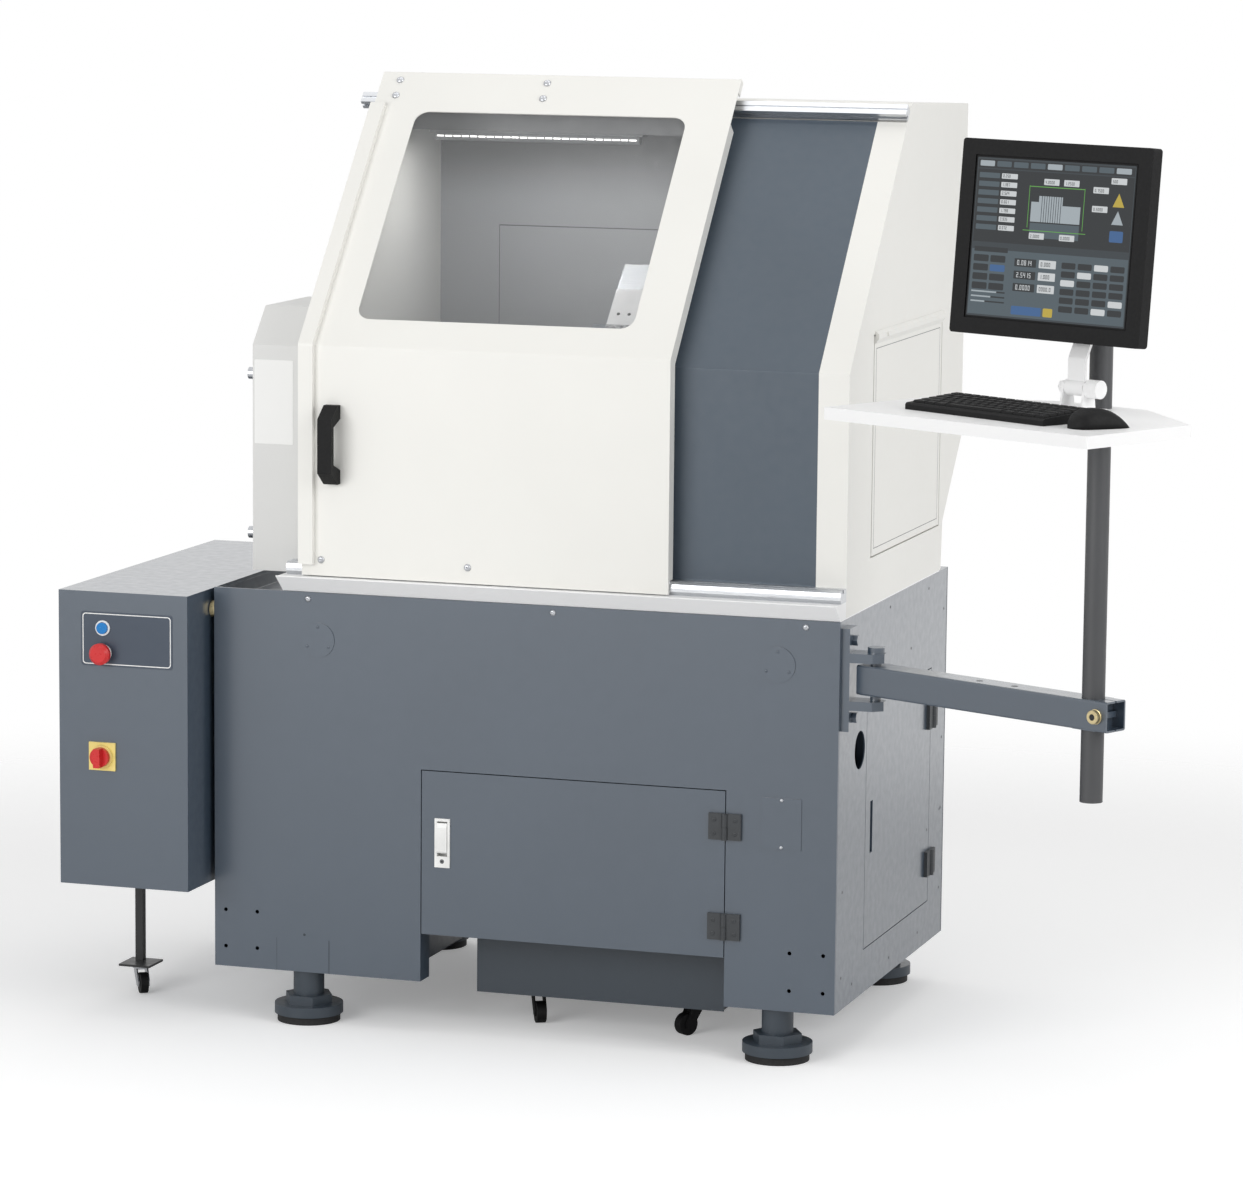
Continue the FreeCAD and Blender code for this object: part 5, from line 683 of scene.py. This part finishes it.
def screen_fields(sheet):
    """Upper left of the screen: the tab strip and a column of fields with figures."""
    left, right = -HALF_W, HALF_W
    sheet.box(left + 2, right - 2, 112, 126, 0.12, 0.2, DEEP)
    for k in range(9):
        u = left + 6 + k * 36.0
        sheet.tile(u, u + 31, 115, 124, 1.5, 0.18, 0.28, PANEL if k % 4 else PALE)
    sheet.box(left + 2, right - 2, -8, 110, 0.12, 0.2, DEEP)
    for k in range(7):
        v = 96.0 - k * 14.0
        sheet.tile(left + 6, left + 50, v, v + 8.5, 1.0, 0.18, 0.28, PANEL)
        sheet.tile(left + 54, left + 88, v, v + 8.5, 1.0, 0.18, 0.28, FIELD)
        figures = "%d.%03d" % (k % 3, (k * 137 + 250) % 1000)
        number(sheet, figures, left + 57, v + 2, 5.0, 0.26, 0.34, DEEP)


def screen_drawing(sheet):
    """Upper right of the screen: a turned part's outline with its sizes, and three marks beside it."""
    part = [(-46, 30), (-46, 62), (-30, 62), (-30, 72), (20, 72), (20, 58), (58, 58), (58, 30)]
    sheet.plate(part, 0.18, 0.26, PALE)
    sheet.plate([(-46, 4), (58, 4), (58, 28), (-46, 28)], 0.18, 0.24, PANEL)
    for k in range(9):
        u = -24.0 + k * 5.0
        sheet.box(u, u + 1.2, 30, 72, 0.24, 0.32, BACK)
    for u in (-52, 64):
        sheet.box(u, u + 1.2, 20, 88, 0.2, 0.3, GREEN)
    sheet.box(-52, 65, 86, 87.4, 0.2, 0.3, GREEN)
    sheet.box(-60, 72, 15, 16.2, 0.2, 0.3, GREEN)
    for u, v, text in ((-20, 92, "4.0000"), (22, 92, "1.2500"), (84, 84, "0.7500"), (84, 54, "0.5000"),
                       (-44, 4, "2.0000"), (20, 4, "0.0000"), (120, 100, "500")):
        sheet.tile(u - 2, u + 30, v - 2, v + 8, 1.0, 0.2, 0.3, FIELD)
        number(sheet, text, u + 1, v, 5.0, 0.28, 0.36, DEEP)
    sheet.plate([(124, 62), (148, 62), (136, 84)], 0.2, 0.3, AMBER)
    sheet.plate([(124, 34), (136, 56), (148, 34)], 0.2, 0.3, PALE)
    sheet.tile(122, 150, 6, 24, 2.0, 0.2, 0.3, BLUE)


def screen_buttons(sheet):
    """Lower half of the screen: button blocks, readouts and sliders."""
    sheet.box(-HALF_W + 2, HALF_W - 2, -HALF_H + 3, -12, 0.12, 0.2, PANEL)
    sheet.box(-HALF_W + 2, HALF_W - 2, -20, -12, 0.18, 0.26, BACK)
    for column, u in enumerate((-160.0, -124.0)):
        for k in range(4):
            v = -40.0 - k * 15.0
            sheet.tile(u, u + 32, v, v + 11, 2.0, 0.2, 0.34, BLUE if (column, k) == (1, 1) else DEEP)
    sheet.tile(-160, -88, -24, -16, 1.0, 0.2, 0.3, DEEP)
    readouts = (("0.0814", "0.000"), ("2.5415", "1.000"), ("0.0000", "0000.0"))
    for k, (readout, setting) in enumerate(readouts):
        v = -44.0 - k * 20.0
        sheet.tile(-72, -26, v, v + 13, 1.0, 0.2, 0.3, DEEP)
        number(sheet, readout, -66, v + 2.5, 8.0, 0.28, 0.36, FIELD)
        sheet.tile(-20, 16, v, v + 13, 1.0, 0.2, 0.3, FIELD)
        number(sheet, setting, -16, v + 3, 6.5, 0.28, 0.36, DEEP)
    for k in range(3):
        v = -106.0 + k * 8.0
        sheet.box(-160, -88, v, v + 2.4, 0.2, 0.3, DEEP)
        sheet.box(-160, -130 + 12 * k, v, v + 2.4, 0.28, 0.36, PALE)
    for row in range(6):
        for column in range(4):
            u, v = 28.0 + column * 34.0, -42.0 - row * 14.0
            sheet.tile(u, u + 29, v, v + 10, 2.0, 0.2, 0.34, FIELD if (row + column) % 5 == 2 else DEEP)
    sheet.tile(-72, -8, -122, -108, 2.0, 0.2, 0.34, BLUE)
    sheet.tile(-4, 16, -122, -108, 2.0, 0.2, 0.34, AMBER)


def screen_interface():
    """Plain control screen: fields, figures and a turned part's outline, with no words."""
    sheet = Sheet(on_screen)
    sheet.plate(rounded_rect(-HALF_W, HALF_W, -HALF_H, HALF_H, 1.0, 1), 0.05, 0.15, BACK)
    screen_fields(sheet)
    screen_drawing(sheet)
    screen_buttons(sheet)
    sheet.piece("screen_interface", [lit(*level) for level in SCREEN_LEVELS], "monitor")


# ------------------------------------------------------------------ small fittings
def add_turned(vertices, faces, profile, centre, axis, steps):
    """Add a closed turned shape: profile of (radius, distance along the axis) from a machine point."""
    along = Vector(axis).normalized()
    side = along.orthogonal().normalized()
    other = along.cross(side)
    start = len(vertices)
    for radius, distance in profile:
        for k in range(steps):
            a = math.tau * k / steps
            offset = along * distance + (side * math.cos(a) + other * math.sin(a)) * radius
            vertices.append(at(*(Vector(centre) + offset)))
    for level in range(len(profile) - 1):
        low = start + level * steps
        for k in range(steps):
            n = (k + 1) % steps
            faces.append((low + k, low + n, low + steps + n, low + steps + k))
    last = start + (len(profile) - 1) * steps
    faces.append(tuple(start + steps - 1 - k for k in range(steps)))
    faces.append(tuple(last + k for k in range(steps)))


def turned_piece(name, profile, centre, axis, material, body, steps=32):
    """One turned piece with flat facets."""
    vertices = []
    faces = []
    add_turned(vertices, faces, profile, centre, axis, steps)
    return new_piece(name, vertices, faces, [material], None, body)


def cabinet_bumper():
    """Round stop on the base's left side for the swinging cabinet."""
    profile = [(13.0, 0.0), (14.5, 1.0), (14.5, 8.0), (13.0, 9.0), (6.0, 9.0), (5.0, 8.0)]
    turned_piece("cabinet_bumper", profile, (-0.2, 12.0, 733.0), (-1, 0, 0), brass, "machine")


cabinet_label()
drive_cover_label()
screen_interface()
cabinet_bumper()


# ------------------------------------------------------------------ screws
BASE_TOP = 774.0
PANEL_SCREW_DROP = 12.0
HOOD_Y = 35.0
BEND_Z = 1192.0            # where the hood's front leans back
LEAN = math.radians(41.0)
DOOR_OUT = 45.0            # door face in front of the hood plane


def lean_point(x, s, out):
    """Machine point on the leaning part of the hood: s up the slope, out of it."""
    return (x, HOOD_Y + s * math.sin(LEAN) - out * math.cos(LEAN),
            BEND_Z + s * math.cos(LEAN) + out * math.sin(LEAN))


# Shares of a screw head's radius and height, from its rim over the dome into the drive.
HEAD_PROFILE = ((1.0, 0.0), (1.0, 0.22), (0.93, 0.5), (0.76, 0.78), (0.52, 0.94), (0.40, 1.0),
                (0.36, 0.98), (0.34, 0.45))


def dome_heads(name, places, axis, radius, height, material, body, steps=20):
    """Round-headed screws with a hollow drive, one mesh for all of them."""
    vertices = []
    faces = []
    profile = [(reach * radius, rise * height) for reach, rise in HEAD_PROFILE]
    for place in places:
        add_turned(vertices, faces, profile, place, axis, steps)
    return new_piece(name, vertices, faces, [material], None, body, True)


def screws():
    """Screws of the front panel, the cover plate and the sliding door."""
    front = (0.0, -1.0, 0.0)
    lean = (0.0, -math.cos(LEAN), math.sin(LEAN))
    panel = [(x, 0.0, BASE_TOP - PANEL_SCREW_DROP) for x in (177.6, 631.2, 1084.8)]
    dome_heads("front_panel_screws", panel, front, 5.3, 3.2, zinc, "machine")
    cover = [(1046.5, -1.5, 420.0 + dz) for dz in (-41.0, 41.0)]
    dome_heads("cover_plate_screws", cover, front, 3.0, 1.8, zinc, "machine")
    hanger = [lean_point(x, s, DOOR_OUT) for x in (206.0, 485.0) for s in (574.0, 539.0)]
    dome_heads("door_hanger_screws", hanger, lean, 7.0, 4.0, zinc, "sliding_door")
    guide = [(x, HOOD_Y - DOOR_OUT, 834.0) for x in (206.0, 478.0)]
    dome_heads("door_guide_screws", guide, front, 6.5, 3.6, zinc, "sliding_door")


screws()


# ------------------------------------------------------------------ keyboard and mouse
SHELF_TOP = 1174.7
KEYS_CENTRE = (-32.0, -212.0)
KEYS_SIZE = (313.0, 115.0)
KEYS_TURN = math.radians(-4.4)
KEYS_EDGE = 8.0
KEYS_LOW, KEYS_HIGH = 11.0, 19.0      # heights of the sloped top at its front and rear
KEYS_FRONT, KEYS_REAR = 3.0, 4.0     # run of the bevels there
KEY_RISE = 0.6             # share of the slope that a cap follows
# Shrink and height of a cap's four outlines, from its foot to its dished top.
CAP_LEVELS = ((0.7, -0.4), (0.8, 1.2), (2.4, 4.0), (3.4, 3.7))
# Key widths in each row, from the rear row to the front one.
KEY_ROWS = ((1.0,) * 15, (1.0,) * 13 + (2.0,), (1.5,) + (1.0,) * 12 + (1.5,),
            (1.8,) + (1.0,) * 11 + (2.2,), (2.3,) + (1.0,) * 10 + (2.7,),
            (1.4, 1.1, 1.3, 6.4, 1.3, 1.1, 1.4, 1.0))


def on_keyboard(u, v, z):
    """Point on the keyboard: u right and v back of its centre, z above the shelf."""
    c, s = math.cos(KEYS_TURN), math.sin(KEYS_TURN)
    return on_console(KEYS_CENTRE[0] + u * c - v * s, KEYS_CENTRE[1] + u * s + v * c, SHELF_TOP + z)


def keyboard():
    """Wedge keyboard with dished keycaps, in place of the frame's keyboard."""
    w, d = KEYS_SIZE[0] / 2, KEYS_SIZE[1] / 2
    vertices = []
    faces = []
    side = [(-d, 0), (d, 0), (d, KEYS_HIGH - 2), (d - KEYS_REAR, KEYS_HIGH),
            (-d + KEYS_FRONT, KEYS_LOW), (-d, KEYS_LOW - 3)]
    for u in (-w, w):
        vertices += [on_keyboard(u, v, z) for v, z in side]
    count = len(side)
    faces += [tuple(range(count)), tuple(range(2 * count - 1, count - 1, -1))]
    faces += [(k, count + k, count + (k + 1) % count, (k + 1) % count) for k in range(count)]
    depth = (KEYS_SIZE[1] - 2 * KEYS_EDGE) / len(KEY_ROWS)
    slope = (KEYS_HIGH - KEYS_LOW) / (2 * d - KEYS_FRONT - KEYS_REAR)
    for row, sizes in enumerate(reversed(KEY_ROWS)):
        v0 = -d + KEYS_EDGE + depth * row
        unit = (KEYS_SIZE[0] - 2 * KEYS_EDGE) / sum(sizes)
        u0 = -w + KEYS_EDGE
        z = KEYS_LOW + (v0 + d - KEYS_FRONT) * slope
        for size in sizes:
            key_cap(vertices, faces, u0, u0 + unit * size, v0, v0 + depth, z, slope)
            u0 += unit * size
    piece = new_piece("keyboard_keys", vertices, faces, [plastic_black], None, "console_pole")
    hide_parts("keyboard")


def key_cap(vertices, faces, u0, u1, v0, v1, z, slope):
    """One tapered cap with a slightly dished top."""
    start = len(vertices)
    for inset, rise in CAP_LEVELS:
        for u, v in ((u0 + inset, v0 + inset * 0.8), (u1 - inset, v0 + inset * 0.8),
                     (u1 - inset, v1 - inset), (u0 + inset, v1 - inset)):
            vertices.append(on_keyboard(u, v, z + rise + (v - v0) * slope * KEY_RISE))
    for level in range(len(CAP_LEVELS) - 1):
        a = start + level * 4
        for k in range(4):
            n = (k + 1) % 4
            faces.append((a + k, a + n, a + 4 + n, a + 4 + k))
    faces.append((start + 12, start + 13, start + 14, start + 15))
    faces.append((start + 3, start + 2, start + 1, start))


MOUSE_CENTRE = (186.0, -226.0)
MOUSE_SIZE = (60.0, 105.0, 36.0)
MOUSE_TURN = math.radians(-20.0)
MOUSE_FILL = 0.49          # half the width and length, just inside the frame's mouse


def mouse():
    """Smooth mouse with a waist and a high back, in place of the frame's mouse."""
    wide, long, high = MOUSE_SIZE
    c, s = math.cos(MOUSE_TURN), math.sin(MOUSE_TURN)
    around, along = 24, 26
    vertices = []
    for i in range(along + 1):
        t = -math.cos(math.pi * i / along)           # -1 at the heel, 1 at the nose
        half = MOUSE_FILL * wide * (1.0 - abs(t) ** 3.2) ** 0.5 * (1.0 - 0.08 * math.cos(t * 2.6))
        crown = 1.0 - abs(t + 0.12) ** 2.6 / 1.5     # highest a little behind the middle
        top = high * (0.97 * crown - 0.12 * (t + 1.0)) * (1 - abs(t) ** 9) ** 0.5
        for k in range(around + 1):
            a = math.pi * k / around
            u = half * math.cos(a)
            z = max(top, 0.0) * math.sin(a) ** 0.62
            v = t * long * MOUSE_FILL
            vertices.append(on_console(MOUSE_CENTRE[0] + u * c - v * s, MOUSE_CENTRE[1] + u * s + v * c,
                                       SHELF_TOP + z))
    faces = []
    ring = around + 1
    for i in range(along):
        for k in range(around):
            a = i * ring + k
            faces.append((a, a + 1, a + ring + 1, a + ring))
        faces.append((i * ring + around, i * ring, (i + 1) * ring, (i + 1) * ring + around))
    piece = new_piece("mouse_shell", vertices, faces, [plastic_black], None, "console_pole", True)
    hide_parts("mouse")


keyboard()
mouse()


# ------------------------------------------------------------------ seams, holes and marks


MARK_HIGH = 0.12           # how far a painted mark stands off its sheet


def right_plane(x):
    """Plane facing right at machine x: u runs back and v up."""
    return lambda u, v, out: at(x + out, u, v)


def holes(sheet, spots, radius):
    """Dark discs where small screws and holes show on a sheet; in the holes the dark is painted shade."""
    for u, v in spots:
        sheet.disc(u, v, radius, 0.0, MARK_HIGH, 0, 14)


def base_right_marks():
    """Screw holes over the base's right panel, as dark discs of painted shade."""
    sheet = Sheet(right_plane(BASE_WIDTH))
    holes(sheet, ((40.0, 752.0), (330.0, 755.0), (600.0, 752.0), (712.0, 700.0), (60.0, 590.0),
                  (711.5, 461.6), (704.6, 327.9), (616.1, 305.2), (40.0, 150.0), (40.0, 300.0),
                  (712.0, 180.0), (712.0, 330.0), (360.0, 120.0), (560.0, 125.0), (110.0, 125.0),
                  (120.0, 660.0), (300.0, 655.0), (480.0, 660.0)), 2.6)
    sheet.piece("base_right_screws", [hole_shade_dark], "machine")


DISC_SPOTS = ((196.5, 690.0), (1036.3, 694.7))      # the two blanking discs on the front panel
DISC_SCREW_CIRCLE = 23.0
DISC_FRONT_Y = -1.5


def front_marks():
    """Plugged hole, the two seams over the left foot and the blanking discs' screws."""
    sheet = Sheet(front_plane(0.0))
    holes(sheet, ((171.0, 160.4),), 2.4)
    sheet.box(217.0, 218.2, 93.5, 153.5, 0.0, 0.1, 0)
    sheet.box(118.0, 118.6, 93.5, 152.0, 0.0, 0.1, 0)
    sheet.piece("front_seams", [mark_blue], "machine")
    for k, (x, z) in enumerate(DISC_SPOTS):
        spots = [(x + DISC_SCREW_CIRCLE * math.cos(a), DISC_FRONT_Y, z + DISC_SCREW_CIRCLE * math.sin(a))
                 for a in (math.radians(d) for d in (90.0, 210.0, 330.0))]
        dome_heads("disc_screws_%d" % k, spots, (0.0, -1.0, 0.0), 2.6, 1.3, paint_base, "machine", 14)


LIGHT_FRONT = 488.1        # front of the light bar's lens
LIGHT_Z0 = 1550.0
LED_COUNT = 24
LED_START, LED_PITCH, LED_W, LED_H = 236.0, 16.0, 13.0, 2.4


def inner_seams():
    """Panel seam on the inner rear wall and the light bar's lit strip."""
    sheet = Sheet(front_plane(INNER_WALL_Y))
    sheet.box(283.0, 880.0, 1376.0, 1378.0, 0.0, 0.08, 0)
    sheet.box(283.0, 284.2, 1000.0, 1376.0, 0.0, 0.06, 0)
    sheet.piece("inner_seams", [grey_seams_and_painted_shade], "machine")
    strip = Sheet(front_plane(LIGHT_FRONT))
    for k in range(LED_COUNT):
        u = LED_START + k * LED_PITCH
        strip.box(u, u + LED_W, LIGHT_Z0, LIGHT_Z0 + LED_H, 0.0, 0.5, 0)
    strip.piece("led_strip", [led_glow], "machine")


def cover_fold_line():
    """Fold line inside the edges of the hood's side cover, drawn as a thin grey ring: painted shade in the
    fold.
    """
    sheet = Sheet(right_plane(BASE_WIDTH - 0.5))
    y0, y1, z0, z1 = 208.0, 647.5, 873.5, 1221.5
    sheet.ring([(y0, z0), (y1, z0), (y1, z1), (y0, z1)],
               [(y0 + 1, z0 + 1), (y1 - 1, z0 + 1), (y1 - 1, z1 - 1), (y0 + 1, z1 - 1)], 0.0, MARK_HIGH, 0)
    sheet.piece("cover_fold_line", [grey_seams_and_painted_shade], "machine")


DOOR_SEAM_X = BASE_WIDTH - 197.6 - 1.7 / 2     # middle of the gap at the base door's hinges
HINGE_FACE_Y = -6.0
HINGE_SCREW_X, HINGE_SCREW_Z = 19.0, 12.0     # off the seam and off the hinge's middle


def hinge_screws():
    """Socket screws on the base door's hinges, two to a leaf."""
    for body, side in (("base_door", -1), ("machine", 1)):
        places = [(DOOR_SEAM_X + side * HINGE_SCREW_X, HINGE_FACE_Y, z + dz)
                  for z in (409.0, 234.0) for dz in (-HINGE_SCREW_Z, HINGE_SCREW_Z)]
        dome_heads("hinge_screws_" + body, places, (0.0, -1.0, 0.0), 4.0, 1.0, plastic_dark, body, 16)


LATCH_FACE_Y = -3.0
KEYHOLE = (430.5, 311.5)


def latch_keyhole():
    """Lock barrel with a keyhole under the base door's latch; the keyhole's dark disc is painted shade."""
    sheet = Sheet(front_plane(LATCH_FACE_Y))
    x, z = KEYHOLE
    sheet.disc(x, z, 4.0, 0.0, 0.2, 0, 20)
    sheet.disc(x, z, 1.5, 0.2, 0.35, 1, 12)
    sheet.piece("latch_keyhole", [grey_seams_and_painted_shade, hole_shade_dark], "base_door")


SIDE_SEAM_Y = 629.15       # the side door's hinge axis
SIDE_HINGE_Z = (516.0, 243.0)
HINGE_HALF = 23.25         # half a hinge's height
HINGE_BARREL = 5.45        # the barrel's radius, with its cap


def side_hinge_covers():
    """Dark caps over the side door's hinge leaves and barrels, which share the door's node."""
    seam, half, radius = SIDE_SEAM_Y, HINGE_HALF, HINGE_BARREL
    sheet = Sheet(right_plane(BASE_WIDTH))
    for k, z in enumerate(SIDE_HINGE_Z):
        sheet.box(seam - 29.25, seam - 5.9, z - half, z + half, 0.05, 6.25, 0)
        sheet.box(seam - 6.0, seam - 1.0, z - half, z - 0.3, 0.05, 6.25, 0)
        turned_piece("side_hinge_barrel_%d" % k, [(radius, 0.0), (radius, 23.0)],
                     (BASE_WIDTH + 5.5, seam, z - 23.3), (0, 0, 1), plastic_dark, "side_door", 40)
    sheet.piece("side_hinge_caps", [plastic_dark], "side_door")


ARM_TUBE = 50.8            # the arm's square tube
ARM_TOP = 699.4
NUT_HIGH = 10.2            # floor of the nut's socket


def arm_bolt():
    """Brass nut over the arm's clamp bolt, with a dark disc of painted shade at the floor of its socket."""
    c, s = math.cos(ARM_ANGLE), math.sin(ARM_ANGLE)
    along, half = POLE_AT + 25.3, ARM_TUBE / 2
    start = (PIN[0] + along * c + half * s, PIN[1] + along * s - half * c, ARM_TOP - half)
    axis = (s, -c, 0.0)
    nut = [(12.4, 0.1), (12.6, 0.6), (12.4, 1.9), (11.5, 2.2), (11.4, 9.6), (10.4, 10.6), (5.6, 10.6),
           (5.3, NUT_HIGH)]
    turned_piece("arm_bolt_nut", nut, start, axis, brass, "console_arm", 40)
    tip = tuple(a + b * NUT_HIGH for a, b in zip(start, axis))
    turned_piece("arm_bolt_socket", [(5.2, 0.0), (5.2, 0.15)], tip, axis, hole_shade_dark, "console_arm", 24)


def arm_top_holes():
    """Two plain holes in the arm tube's top face, as grey discs of painted shade."""
    c, s = math.cos(ARM_ANGLE), math.sin(ARM_ANGLE)
    sheet = Sheet(lambda u, v, out: at(PIN[0] + u * c - v * s, PIN[1] + u * s + v * c, ARM_TOP + out))
    holes(sheet, ((229.0, -3.0), (304.0, -3.0)), 6.0)
    sheet.piece("arm_top_holes", [grey_seams_and_painted_shade], "console_arm")


SPINDLE = (225.0, 1080.0)  # the spindle axis: back and up
SLIDE_FACE_N = -74.0       # faces of the cross slide and of the tool block, square to the slope
BLOCK_FACE_N = -28.0
FACE_THICK = 0.5


def slope_plane(n):
    """Plane lying on the slant bed's slides, n square to the slope from the spindle axis."""
    c = math.sqrt(0.5)         # cosine and sine of the bed's 45 degrees
    return lambda u, v, out: at(u, SPINDLE[0] + (v - n - out) * c, SPINDLE[1] + (v + n + out) * c)


def tool_faces():
    """Ground face of the cross slide above the tool block, lightened as painted sheen, and the block's
    front face: its upper part near white as a painted highlight, its lower part speckled, and its holes
    dark discs of painted shade.
    """
    slide = Sheet(slope_plane(SLIDE_FACE_N))
    slide.box(572.0, 718.0, 320.0, 415.5, 0.0, FACE_THICK, 0)
    slide.piece("slide_face", [steel_with_painted_sheen], "cross_slide")
    block = Sheet(slope_plane(BLOCK_FACE_N))
    block.box(589.0, 699.0, 234.0, 317.0, 0.0, FACE_THICK, 0)
    block.box(589.0, 699.0, 114.0, 234.0, 0.0, FACE_THICK, 1)
    # Dark discs for the block's holes: painted shade.
    for u in (605.8, 626.0, 660.0, 680.0):
        block.disc(u, 259.0, 3.2, FACE_THICK, FACE_THICK + MARK_HIGH, 2, 20)
    block.piece("tool_block_face", [white_painted_highlight, speckled, hole_shade_dark], "cross_slide")


base_right_marks()
side_hinge_covers()
arm_bolt()
arm_top_holes()
tool_faces()
front_marks()
inner_seams()
cover_fold_line()
hinge_screws()
latch_keyhole()
